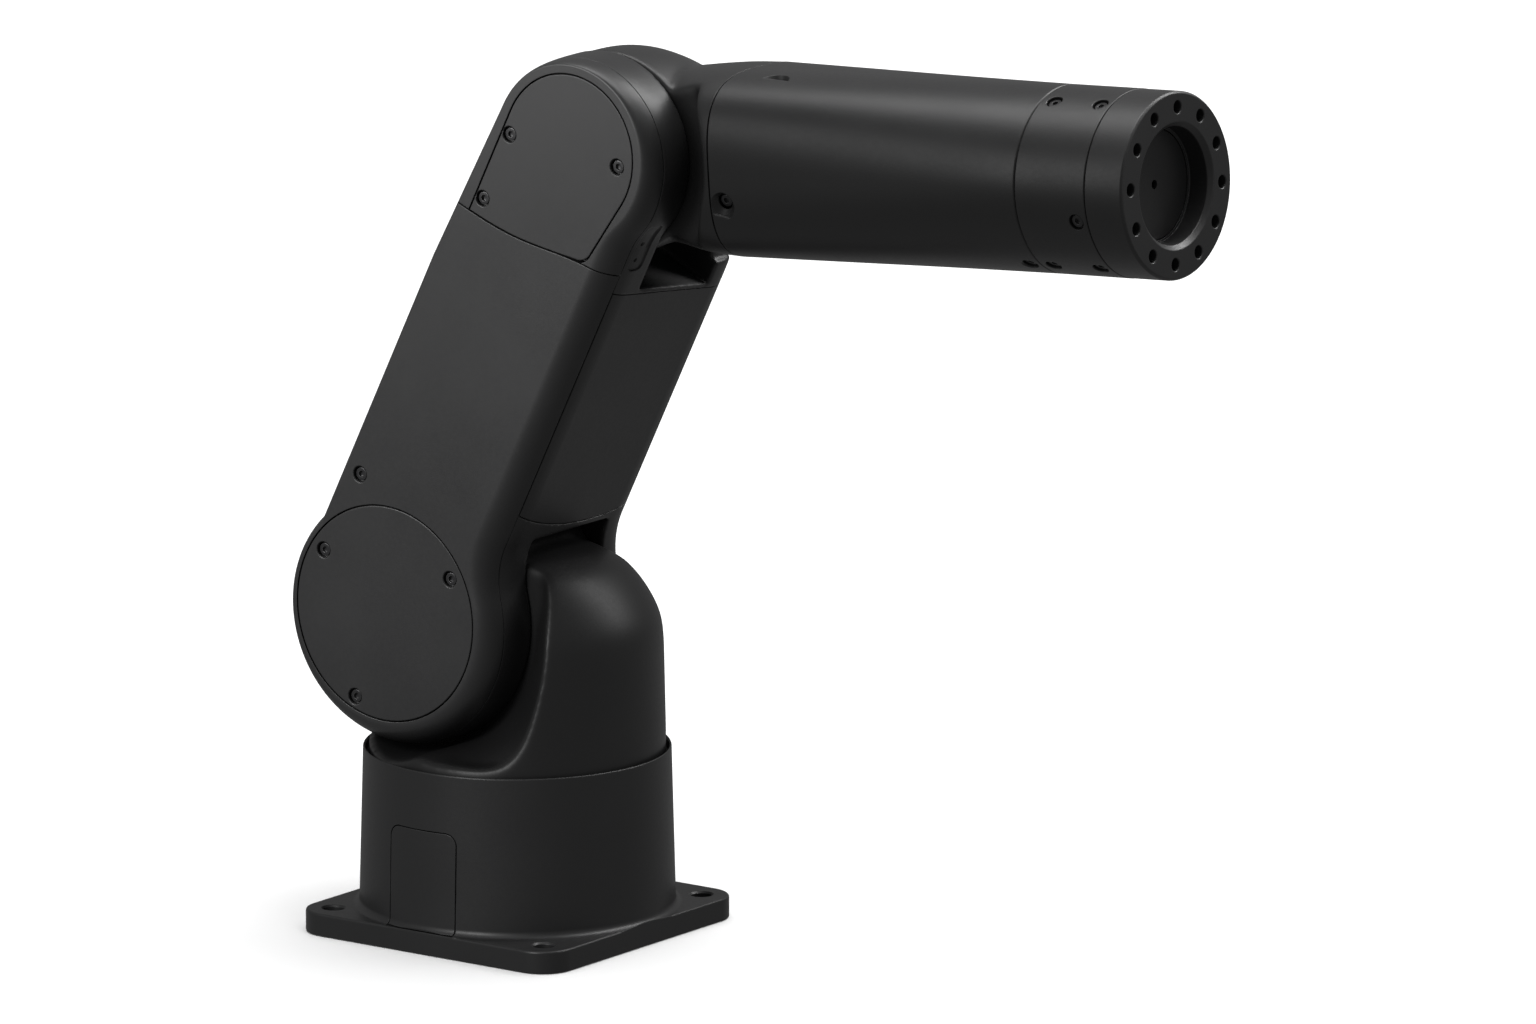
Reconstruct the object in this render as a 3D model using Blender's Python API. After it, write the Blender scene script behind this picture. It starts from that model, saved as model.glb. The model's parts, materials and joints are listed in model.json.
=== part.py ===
"""Desktop robot arm with a square mounting plate: base, turret, upper arm, forearm and tool flange.

Every length below is in millimetres; MM turns it into the scene's metres when a mesh is made.
World frame: origin under the middle of the base plate, +Z up, +X where the forearm points.
The drive-side covers face -Y. Arm pieces are drawn upright on their own axes: the upper arm's
own +Z runs from the shoulder axis to the elbow axis, the forearm's own +X runs along its tube.
"""

import math

import bmesh
import bpy
from mathutils import Matrix, Vector

MM = 0.001

# --- driving dimensions ---------------------------------------------------------------
GAP = 0.3  # assembly gap left between neighbouring pieces

PLATE_SIDE, PLATE_THICK, PLATE_CORNER = 133.6, 9.5, 14.0
MOUNT_HOLE_PITCH, MOUNT_HOLE_R = 109.0, 4.5
BASE_FOOT_R, BASE_RIM_R, BASE_RIM_Z = 65.7, 64.0, 76.7
BASE_FLARE = 3.0
BASE_WALL = 5.0
PANEL_X = (-18.5, 15.5)
PANEL_TOP_Z, PANEL_CORNER, PANEL_THICK = 52.0, 5.0, 3.0
REAR_PANEL = ((-23.7, 16.3), (23.7, 45.7))  # corners as (y, z), as for the sockets below
DATA_SOCKET = ((4.0, 23.0), (20.0, 39.0))
POWER_SOCKET, POWER_SOCKET_R = (-11.0, 31.0), 9.0
SOCKET_FACE_X = -66.6
BEARING_SEAT_R = 58.9

TURRET_R, TURRET_TOP_R, TURRET_BOTTOM_Z = 61.7, 60.9, 73.5
SHOULDER_X, SHOULDER_Z = -30.7, 137.1
KNUCKLE_R = 54.0
EAR_ROOM_R = 60.5  # the hollows in the turret that the arm's ears turn in
EAR_BAY_ANGLES, EAR_BAY_STEPS, EAR_BAY_LEAN = (-70.0, 80.0), 18, 6.0
EAR_BAY_LOW_Z = 80.0  # under this the turret's lowest ring stays whole
EAR_BAY_FLARE = ((0, 0), (2.5, 3), (8.5, 9), (17, 17), (27, 26), (40, 36), (40, 66))  # (grow, depth)
HEAD_Y = (-24.7, 26.7)  # the turret head and the elbow knuckle fill this width
EAR_Y = (-25.0, 27.0)  # inner faces of both pairs of ears

LEAN = 25.9  # degrees that the upper arm leans forward at rest
ARM_LENGTH = 224.5  # shoulder axis to elbow axis
ARM_FACE_Y, ARM_BACK_Y = -50.0, 46.0
ROUND_DEPTH = 16.0  # how deep the rounded edge of the arm's faces runs
SHELL_JOINT_Y = -42.0  # where the drive-side shells meet the frame
ARM_WALL = 4.0
COVER_THICK = 3.2
SHOULDER_COVER_R, ELBOW_COVER_R = 45.2, 32.4
ELBOW_COVER_CENTRE = (-4.3, 226.8)
BACK_EDGE_TOP = 150.0  # where the back edge starts to run in towards the elbow
CROTCH_W, POCKET_W = 56.0, 181.0  # ends of the solid middle of the arm, along its length
POCKET_FALL = 7.5  # how much lower the elbow pocket's floor is on the idler side

TILT = 3.95  # degrees that the forearm points up at rest
TUBE_DROP = -3.4  # the tube's axis passes this far from the elbow axis
ROOT_X, WRIST_X, TOOL_X, FLANGE_X = 59.8, 212.7, 247.2, 265.7
TUBE_R, TUBE_WALL = 38.4, 3.2
EAR_CLEARANCE_R = 44.4
NECK_FLARE = ((0, 0), (0.8, 2), (3.2, 5), (7.1, 9), (11.6, 13.6))  # (grow, depth)
NECK_BAY = (44.0, 54.0, -12.0, -38.0, -100.0)  # extra room under the neck when the elbow opens

FLANGE_R, FLANGE_FACE_R = 38.3, 37.4
FLANGE_BORE_R, FLANGE_BORE_DEPTH = 24.0, 10.6
FLANGE_HOLES, FLANGE_HOLE_R, FLANGE_HOLE_CIRCLE_R, FLANGE_PHASE = 12, 2.7, 31.8, -6.4

SCREW_HEAD_R, SCREW_HEAD_H, COUNTERBORE_R, SCREW_SHANK_R, SCREW_SHANK = 2.7, 2.2, 3.1, 1.4, 4.0
SCREW_SINK = 2.7  # depth of the counterbore floor below the surface

FINE, MEDIUM, COARSE, SMALL = 48, 24, 14, 10  # facets round circles, from large to small


# --- scene, materials and frames -------------------------------------------------------
def clear_scene():
    for obj in list(bpy.data.objects):
        bpy.data.objects.remove(obj, do_unlink=True)


def material(name, colour, roughness, metallic=0.0):
    made = bpy.data.materials.new(name)
    made.use_nodes = True
    shader = made.node_tree.nodes["Principled BSDF"]
    shader.inputs["Base Color"].default_value = (*colour, 1.0)
    shader.inputs["Roughness"].default_value = roughness
    shader.inputs["Metallic"].default_value = metallic
    return made


def axis_empty(name, parent, matrix):
    """An empty on a joint's axis, which carries the pieces beyond that joint."""
    made = bpy.data.objects.new(name, None)
    bpy.context.scene.collection.objects.link(made)
    made.parent = parent
    made.matrix_local = matrix
    return made


def shift(x, y, z):
    return Matrix.Translation(Vector((x, y, z)) * MM)


# --- geometry: each function returns (points, faces), points in millimetres ------------
def arc(centre, radius, start, end, steps):
    """Points on an arc, from angle start to angle end in degrees."""
    turn = (end - start) / steps
    angles = [math.radians(start + turn * k) for k in range(steps + 1)]
    return [(centre[0] + radius * math.cos(a), centre[1] + radius * math.sin(a)) for a in angles]


def loft(rings):
    """A closed body through rings of equally many points, with flat ends."""
    count = len(rings[0])
    points = [point for ring in rings for point in ring]
    faces = [list(range(count)), list(range(len(points) - count, len(points)))]
    for row in range(len(rings) - 1):
        for k in range(count):
            after = (k + 1) % count
            low, high = row * count, (row + 1) * count
            faces.append([low + k, low + after, high + after, high + k])
    return points, faces


def prism(outline, low, high, along="Y"):
    """An outline drawn in the plane across an axis, extruded along that axis."""
    place = {
        "X": lambda a, b, c: (c, a, b),
        "Y": lambda a, b, c: (a, c, b),
        "Z": lambda a, b, c: (a, b, c),
    }[along]
    return loft([[place(a, b, c) for a, b in outline] for c in (low, high)])


def box(low, high):
    corners = ((low[0], low[1]), (high[0], low[1]), (high[0], high[1]), (low[0], high[1]))
    return prism(corners, low[2], high[2], along="Z")


def turned(profile, facets, along="Z", centre=(0, 0)):
    """A body turned round an axis from (radius, height) points, which start and end on it or close."""
    place = {
        "X": lambda a, b, c: (c, centre[0] + a, centre[1] + b),
        "Y": lambda a, b, c: (centre[0] + a, c, centre[1] + b),
        "Z": lambda a, b, c: (centre[0] + a, centre[1] + b, c),
    }[along]
    points, rows = [], []
    for radius, height in profile:
        if radius == 0:
            rows.append([len(points)] * facets)
            points.append(place(0, 0, height))
            continue
        rows.append(list(range(len(points), len(points) + facets)))
        for k in range(facets):
            angle = math.tau * k / facets
            points.append(place(radius * math.cos(angle), radius * math.sin(angle), height))
    on_axis = profile[0][0] == 0
    pairs = list(zip(rows, rows[1:])) + ([] if on_axis else [(rows[-1], rows[0])])
    faces = []
    for first, second in pairs:
        for k in range(facets):
            after = (k + 1) % facets
            ring = [first[k], first[after], second[after], second[k]]
            faces.append(list(dict.fromkeys(ring)))
    return points, [face for face in faces if len(face) > 2]


def disc(radius, low, high, facets=MEDIUM, along="Y", centre=(0, 0), edge=0.0):
    """A plain disc or pin, with both rims chamfered by edge."""
    profile = [(0, high), (radius - edge, high), (radius, high - edge)]
    profile += [(radius, low + edge), (radius - edge, low), (0, low)]
    if edge == 0:
        profile = [(0, high), (radius, high), (radius, low), (0, low)]
    return turned(profile, facets, along, centre)


def ring(inner, outer, low, high, facets=MEDIUM, along="Y", centre=(0, 0)):
    profile = [(inner, low), (inner, high), (outer, high), (outer, low)]
    return turned(profile, facets, along, centre)


def swing_bay(centre, narrow, wide, closed, opened, end, near, far):
    """Room for something that swings round centre: its radius grows from narrow to wide.

    It starts at the angle closed, is fully wide at the angle opened, and stops at the angle end.
    """
    outline = [centre]
    steps = 14
    for k in range(steps + 1):
        angle = closed + (end - closed) * k / steps
        share = min(1.0, (angle - closed) / (opened - closed))
        radius = narrow + (wide - narrow) * share * share * (3 - 2 * share)
        turn = math.radians(angle)
        outline.append((centre[0] + radius * math.cos(turn), centre[1] + radius * math.sin(turn)))
    return prism(outline, near, far)


def rounded_square(half, corner, steps=6):
    inner = half - corner
    outline = []
    for quarter, (x, y) in enumerate(((1, 1), (-1, 1), (-1, -1), (1, -1))):
        start = 90 * quarter
        outline += arc((inner * x, inner * y), corner, start, start + 90, steps)
    return outline


def superellipse(half_y, half_z, power, middle_z, x, facets=36):
    """A rounded-rectangle ring across the forearm; a power of 2 is an ellipse."""
    made = []
    for k in range(facets):
        angle = math.tau * k / facets
        c, s = math.cos(angle), math.sin(angle)
        scale = (abs(c) ** power + abs(s) ** power) ** (-1 / power)
        made.append((x, half_y * scale * c, middle_z + half_z * scale * s))
    return made


# --- objects ---------------------------------------------------------------------------
def mesh_object(name, shapes, parent, finish=None):
    """One object from one or more closed shapes, drawn in its parent's frame."""
    made = bpy.data.objects.new(name, bpy.data.meshes.new(name))
    bpy.context.scene.collection.objects.link(made)
    made.parent = parent
    work = bmesh.new()
    for points, faces in shapes:
        corners = [work.verts.new(Vector(point) * MM) for point in points]
        for face in faces:
            work.faces.new([corners[k] for k in face])
    bmesh.ops.recalc_face_normals(work, faces=work.faces)
    if work.calc_volume(signed=True) < 0:
        bmesh.ops.reverse_faces(work, faces=work.faces)
    work.to_mesh(made.data)
    work.free()
    if finish:
        made.data.materials.append(finish)
        made.data.shade_smooth()
        made.data.set_sharp_from_angle(angle=math.radians(30))
    else:
        made.hide_render = True
        made.display_type = "WIRE"
    return made


def combine(target, operation, *shapes):
    """Joins shapes to the target, cuts them from it, or keeps only what lies inside them."""
    name = f"{target.name}.{operation.lower()}.{len(target.modifiers)}"
    tool = mesh_object(name, shapes, target.parent)
    step = target.modifiers.new(tool.name, "BOOLEAN")
    step.operation = operation
    step.object = tool
    return target


def cut(target, *shapes):
    return combine(target, "DIFFERENCE", *shapes)


def join(target, *shapes):
    for shape in shapes:
        combine(target, "UNION", shape)
    return target


def solve_as_manifold(target):
    """For the few pieces whose cuts leave open edges under the exact solver."""
    for step in target.modifiers:
        step.solver = "MANIFOLD"


# --- screws ------------------------------------------------------------------------------
def screw_mesh(finish):
    """A socket-head screw along +Z, its head's top at the origin, made once and shared."""
    head = [(0, 0), (SCREW_HEAD_R, 0), (SCREW_HEAD_R, -SCREW_HEAD_H)]
    tip = -SCREW_HEAD_H - SCREW_SHANK
    shank = [(SCREW_SHANK_R, -SCREW_HEAD_H), (SCREW_SHANK_R, tip), (0, tip)]
    blank = mesh_object("screw_blank", [turned(head + shank, SMALL)], None, finish)
    cut(blank, turned([(0, 1), (1.35, 1), (1.35, -1.2), (0, -1.2)], 6))
    bpy.context.view_layer.update()
    graph = bpy.context.evaluated_depsgraph_get()
    mesh = bpy.data.meshes.new_from_object(blank.evaluated_get(graph))
    mesh.name = "socket_head_screw"
    for helper in (blank.modifiers[0].object, blank):
        bpy.data.objects.remove(helper, do_unlink=True)
    return mesh


def screw(name, mesh, parent, place, outward):
    """A screw whose counterbore opens at place, in its parent's frame, facing outward."""
    made = bpy.data.objects.new(name, mesh)
    bpy.context.scene.collection.objects.link(made)
    made.parent = parent
    direction = Vector(outward).normalized()
    turn = Vector((0, 0, 1)).rotation_difference(direction).to_matrix().to_4x4()
    seat = SCREW_SINK - SCREW_HEAD_H - 0.2
    spot = Vector(place) - direction * seat
    made.matrix_local = Matrix.Translation(spot * MM) @ turn
    return made


def screw_holes(place, outward, reach=9.3):
    """A counterbore and a clearance hole for the screw at place."""
    direction = Vector(outward).normalized()
    turn = Vector((0, 0, 1)).rotation_difference(direction).to_matrix()
    profile = [(0, 3), (COUNTERBORE_R, 3), (COUNTERBORE_R, -SCREW_SINK)]
    profile += [(SCREW_SHANK_R + GAP, -SCREW_SINK), (SCREW_SHANK_R + GAP, -reach), (0, -reach)]
    points, faces = turned(profile, SMALL)
    return [tuple(Vector(place) + turn @ Vector(point)) for point in points], faces


# --- base ----------------------------------------------------------------------------------
def base_skin(offset=0.0):
    """Outer profile of the base from the plate's top to the rim, offset inwards."""
    foot, rim = BASE_FOOT_R - offset, BASE_RIM_R - offset
    flare = arc((foot + BASE_FLARE, PLATE_THICK + BASE_FLARE), BASE_FLARE, 180, 270, 6)
    return [(rim, BASE_RIM_Z)] + flare


def panel_outline(grow):
    """A panel with two round upper corners, seen along the Y axis."""
    left, right = PANEL_X[0] - grow, PANEL_X[1] + grow
    top, low = PANEL_TOP_Z + grow, PLATE_THICK + GAP - grow
    corner = PANEL_CORNER + grow
    outline = [(left, low), (right, low)]
    outline += arc((right - corner, top - corner), corner, 0, 90, 5)
    outline += arc((left + corner, top - corner), corner, 90, 180, 5)
    return outline


def rectangle(low, high, grow):
    """A rectangle between two corners, grown outwards on every side."""
    return [
        (low[0] - grow, low[1] - grow), (high[0] + grow, low[1] - grow),
        (high[0] + grow, high[1] + grow), (low[0] - grow, high[1] + grow),
    ]


def rear_opening(grow):
    return prism(rectangle(*REAR_PANEL, grow), -90, -50, "X")


def base_parts(root, paint, steel, board, plastic):
    half = PLATE_SIDE / 2
    flare_low = PLATE_THICK - 2
    skin = base_skin()
    body = [(0, BASE_RIM_Z - 0.8), (BASE_RIM_R - 1.5, BASE_RIM_Z - 0.8), (BASE_RIM_R - 0.5, BASE_RIM_Z)]
    body += [(BASE_RIM_R, BASE_RIM_Z - 0.5)] + skin[1:] + [(skin[-1][0], flare_low), (0, flare_low)]
    footprint = prism(rounded_square(half - 0.05, PLATE_CORNER), -5, 100, "Z")
    plate = loft([
        [(x, y, z) for x, y in rounded_square(half - inset, PLATE_CORNER - inset)]
        for inset, z in ((0.6, 0), (0, 0.6), (0, PLATE_THICK - 0.8), (0.8, PLATE_THICK))
    ])
    housing = mesh_object("base_housing", [turned(body, FINE)], root, paint)
    combine(housing, "INTERSECT", footprint)
    join(housing, plate)
    inner = BASE_RIM_R - BASE_WALL
    room = [(0, 60), (inner, 60), (inner, 4.5), (inner - 1, 4.5), (inner - 1, -1), (0, -1)]
    cut(housing, turned(room, MEDIUM))
    turret_room, seat_r = BASE_RIM_R - 1.1, BEARING_SEAT_R
    recess = [(0, 90), (turret_room, 90), (turret_room, 72.4), (seat_r, 72.4)]
    recess += [(seat_r, 66), (45, 66), (45, 50), (0, 50)]
    cut(housing, turned(recess, FINE))
    offset = MOUNT_HOLE_PITCH / 2
    wide = MOUNT_HOLE_R + 1
    hole = [(0, 12), (wide, 12), (wide, PLATE_THICK - 0.2), (MOUNT_HOLE_R, PLATE_THICK - 1.2)]
    hole += [(MOUNT_HOLE_R, -2), (0, -2)]
    corners = [(x * offset, y * offset) for x in (-1, 1) for y in (-1, 1)]
    cut(housing, *[turned(hole, COARSE, "Z", corner) for corner in corners])
    cut(housing, prism(panel_outline(GAP), -90, -50))
    cut(housing, rear_opening(GAP))

    shell_profile = base_skin() + [(r, z) for r, z in reversed(base_skin(PANEL_THICK))]
    panel = mesh_object("base_access_panel", [turned(shell_profile, FINE)], root, paint)
    combine(panel, "INTERSECT", prism(panel_outline(0), -66.4, -50))

    rear = mesh_object("rear_connector_panel", [turned(shell_profile, FINE)], root, paint)
    combine(rear, "INTERSECT", rear_opening(0))
    power_r = POWER_SOCKET_R
    cut(rear, disc(power_r + GAP, -80, -50, COARSE, "X", POWER_SOCKET))
    cut(rear, prism(rectangle(*DATA_SOCKET, GAP), -80, -50, "X"))
    jack = disc(power_r, SOCKET_FACE_X, -54, COARSE, "X", POWER_SOCKET, 0.5)
    power = mesh_object("power_socket", [jack], root, plastic)
    cut(power, ring(3.2, power_r - 2, -70, -58, COARSE, "X", POWER_SOCKET))
    block = prism(rectangle(*DATA_SOCKET, 0), SOCKET_FACE_X, -52, "X")
    data = mesh_object("data_socket", [block], root, plastic)
    port = [(6, 25), (18, 25), (18, 34), (14.5, 34), (14.5, 37), (9.5, 37), (9.5, 34), (6, 34)]
    cut(data, prism(port, -70, -56, "X"))

    cover_r = inner - 1 - GAP
    mesh_object("base_bottom_cover", [disc(cover_r, 0.0, 3.0, MEDIUM, "Z", edge=0.5)], root, plastic)
    board_body = mesh_object("controller_board", [box((-32, -30, 8), (32, 30, 9.6))], root, board)
    join(board_body, box((-24, -20, 9.4), (-8, -4, 12)), box((4, 6, 9.4), (24, 22, 14)))
    mesh_object("j1_motor", [disc(30, 16, 41, MEDIUM, "Z", edge=1.5)], root, steel)
    mesh_object("j1_gear_unit", [disc(38, 41.3, 64, MEDIUM, "Z", edge=1.5)], root, steel)
    mesh_object("j1_bearing_outer_ring", [ring(51.2, 58.6, 66.3, 72.2, MEDIUM, "Z")], root, steel)


# --- turret ----------------------------------------------------------------------------------
def eased_share(share):
    """Runs from 0 to 1 without a sudden start or end."""
    share = min(1.0, max(0.0, share))
    return share * share * (3 - 2 * share)


def ear_bay(near, side):
    """Room in front of an arm ear: it flares outwards, and is wider above for the arm to lean."""
    start, end = EAR_BAY_ANGLES
    rings = []
    for grow, depth in EAR_BAY_FLARE:
        ring_y = near + side * depth
        outline = [(SHOULDER_X, ring_y, SHOULDER_Z)]
        for k in range(EAR_BAY_STEPS + 1):
            angle = start + (end - start) * k / EAR_BAY_STEPS
            lean = EAR_BAY_LEAN * eased_share((angle + 6) / 22)
            radius = EAR_ROOM_R - 0.5 + lean + grow * eased_share((angle - start) / 38)
            turn = math.radians(angle)
            x, z = SHOULDER_X + radius * math.cos(turn), SHOULDER_Z + radius * math.sin(turn)
            outline.append((x, ring_y, max(z, EAR_BAY_LOW_Z)))
        rings.append(outline)
    return loft(rings)


def turret_parts(turret, paint, steel):
    shoulder = (SHOULDER_X, SHOULDER_Z)
    dome = [(TURRET_TOP_R, 120.7), (60.0, 129.5), (57.1, 137.7), (51.4, 147.5), (44.3, 155.5)]
    dome += [(36.0, 159.6), (26.0, 162.0), (14.0, 163.2), (0, 163.5)]
    body = [(0, TURRET_BOTTOM_Z), (TURRET_R - 0.6, TURRET_BOTTOM_Z), (TURRET_R, TURRET_BOTTOM_Z + 0.6)]
    housing = mesh_object("turret_housing", [turned(body + dome, FINE)], turret, paint)
    join(housing, disc(KNUCKLE_R, -27, 29, FINE, "Y", shoulder))
    rear = [(SHOULDER_X - 53.9, SHOULDER_Z), (SHOULDER_X - 52.5, 125), (-60.5, 96), (-40, 90), (-20, 130)]
    join(housing, prism(rear, -28, 30))
    for near, side in ((HEAD_Y[0], -1), (HEAD_Y[1], 1)):
        cut(housing, disc(EAR_ROOM_R, *sorted((near, side * 90)), FINE, "Y", shoulder))
        cut(housing, ear_bay(near, side))
    cut(housing, disc(20, 60, 112, along="Z"))
    cut(housing, disc(47, HEAD_Y[0] + 4, HEAD_Y[1] - 4, MEDIUM, "Y", shoulder))
    cut(housing, box((0, -19, 79), (49, 19, 126)))
    cut(housing, disc(16, -40, 0, MEDIUM, "Y", shoulder), disc(18, 18, 40, MEDIUM, "Y", shoulder))
    solve_as_manifold(housing)

    mesh_object("j1_bearing_inner_ring", [ring(40, 50.7, 66.3, 73.2, MEDIUM, "Z")], turret, steel)
    hub_top = TURRET_BOTTOM_Z - GAP
    hub = [(0, 64.4), (33, 64.4), (33, hub_top), (20 - GAP, hub_top), (20 - GAP, 84), (0, 84)]
    mesh_object("j1_output_hub", [turned(hub[::-1], MEDIUM)], turret, steel)
    mesh_object("j2_gear_unit", [disc(42, -20.4, 0, MEDIUM, "Y", shoulder, 1.5)], turret, steel)
    mesh_object("j2_motor", [disc(35, 0.3, 17, MEDIUM, "Y", shoulder, 1.5)], turret, steel)
    mesh_object("shoulder_bearing", [ring(10, 17.7, 19, 26.4, COARSE, "Y", shoulder)], turret, steel)


# --- upper arm ---------------------------------------------------------------------------------
def limb_outline(foot, head, left, right, blend, inset=0.0):
    """A limb seen from the side: two round ends, straight edges, and hollow blends between them.

    foot and head are (across, along, radius). right is the front edge, with a hollow blend at
    both ends. left is the back edge, which rises from a short blend at the foot and then runs in
    to touch the head's circle. inset moves the whole outline inwards.
    """
    foot_r, head_r = foot[2] - inset, head[2] - inset
    left, right, blend, short = left + inset, right - inset, blend + inset, 10.0 + inset

    def blend_centre(end, radius, across, size):
        reach = math.sqrt((radius + size) ** 2 - (across - end[0]) ** 2)
        along = end[1] + reach * (1 if end is foot else -1)
        return across, along

    def angle_to(end, spot):
        turn = math.degrees(math.atan2(spot[1] - end[1], spot[0] - end[0])) % 360
        return turn if spot[0] < end[0] or turn < 180 else turn - 360

    low_right = blend_centre(foot, foot_r, right + blend, blend)
    low_left = blend_centre(foot, foot_r, left - short, short)
    high_right = blend_centre(head, head_r, right + blend, blend)
    away = math.hypot(left - head[0], BACK_EDGE_TOP - head[1])
    touch = angle_to(head, (left, BACK_EDGE_TOP)) - math.degrees(math.acos(head_r / away))
    outline = arc(foot[:2], foot_r, angle_to(foot, low_left), 360 + angle_to(foot, low_right), 20)
    outline += arc(low_right, blend, 180 + angle_to(foot, low_right), 180, 4)
    outline += arc(high_right, blend, 180, 180 + angle_to(head, high_right), 4)
    outline += arc(head[:2], head_r, angle_to(head, high_right), touch, 14)[1:]
    outline += [(left, BACK_EDGE_TOP)] + arc(low_left, short, 0, angle_to(foot, low_left) - 180, 3)[:-1]
    return outline


def arm_outline(y, inset=0.0):
    """The arm's outline at depth y: full in the middle, drawn in towards both faces."""
    full = limb_outline((3.2, -1.0, 54.8), (-1.5, ARM_LENGTH, 42.0), -47.4, 37.5, 34.0, inset)
    if y < 0:
        face = limb_outline((0.0, -0.5, 46.4), (-4.4, 226.6, 36.4), -43.4, 25.5, 40.0, inset)
        depth = y - ARM_FACE_Y
    else:
        face = limb_outline((1.5, -1.0, 43.0), (-2.5, 225.0, 32.0), -35.0, 25.5, 46.0, inset)
        depth = ARM_BACK_Y - y
    open_out = 1.0 if depth >= ROUND_DEPTH else math.sqrt(1 - (1 - depth / ROUND_DEPTH) ** 2)
    return [(a + (c - a) * open_out, b + (d - b) * open_out) for (a, b), (c, d) in zip(face, full)]


def arm_loft(low, high, inset=0.0):
    """The part of the arm's outer form between two depths."""
    rounding = [0.0, 0.8, 3.5, 8.5, ROUND_DEPTH]
    stations = [ARM_FACE_Y + depth for depth in rounding] + [ARM_BACK_Y - depth for depth in rounding]
    inside = [y for y in sorted(stations) if low + 0.3 < y < high - 0.3]
    stations = [low] + inside + [high]
    return loft([[(a, y, b) for a, b in arm_outline(y, inset)] for y in stations])


def seam_line(move):
    """The curved cross seam between the two drive-side shells, from left to right."""
    return [(u, 184.3 + 7.4 * math.tanh((u - 4) / 26) + move) for u in range(-60, 61, 5)]


def elbow_cover_outline(grow):
    """A round-topped cover that stands on the cross seam."""
    centre, radius = ELBOW_COVER_CENTRE, ELBOW_COVER_R + grow
    outline = arc(centre, radius, -10, 180, 18)
    left, corner = centre[0] - radius, 7.0 + grow
    seam = [point for point in seam_line(GAP + 0.05 - grow) if left + 3 < point[0] < 8]
    outline += [(left, seam[0][1] - 0.4)] + seam
    return outline + arc((16.5, seam[-1][1] + 10.0), corner, 290, 345, 4)


def front_cover_edge(move):
    """The front cover's lower edge: a shallow arc across the arm, as (y, along) points."""
    return [(y, 59.5 + move + 0.0041 * (y - 12) ** 2) for y in range(-50, 51, 5)]


def pocket_floor(y):
    """How far along the arm the elbow pocket's floor is: it falls away from the drive side."""
    return POCKET_W - POCKET_FALL * (y - EAR_Y[0]) / (EAR_Y[1] - EAR_Y[0])


def elbow_pocket(sides):
    """The room between the ears at the elbow, seen along the X axis."""
    low, high = sides
    return [(low, pocket_floor(low)), (high, pocket_floor(high)), (high, 400), (low, 400)]


def front_cover_space(grow):
    edge = front_cover_edge(-grow)
    inside = [(y, w) for y, w in edge if SHELL_JOINT_Y + 0.6 - grow <= y <= 36 + grow]
    low_y, high_y = SHELL_JOINT_Y + 0.5 - grow, 36 + grow
    outline = [(low_y, inside[0][1] + 0.4)] + inside
    outline += [(high_y, inside[-1][1] + 0.2)]
    outline += [(y, pocket_floor(y) - 2.0 + grow) for y in (high_y, low_y)]
    return prism(outline, 33.8 - grow, 60, "X")


SHOULDER_SCREWS = ((-38.4, 6.6), (22.0, 31.8), (2.2, -40.4))
ELBOW_SCREWS = ((-33.1, 217.2), (19.2, 234.9), (-33.1, 185.6))


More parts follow.
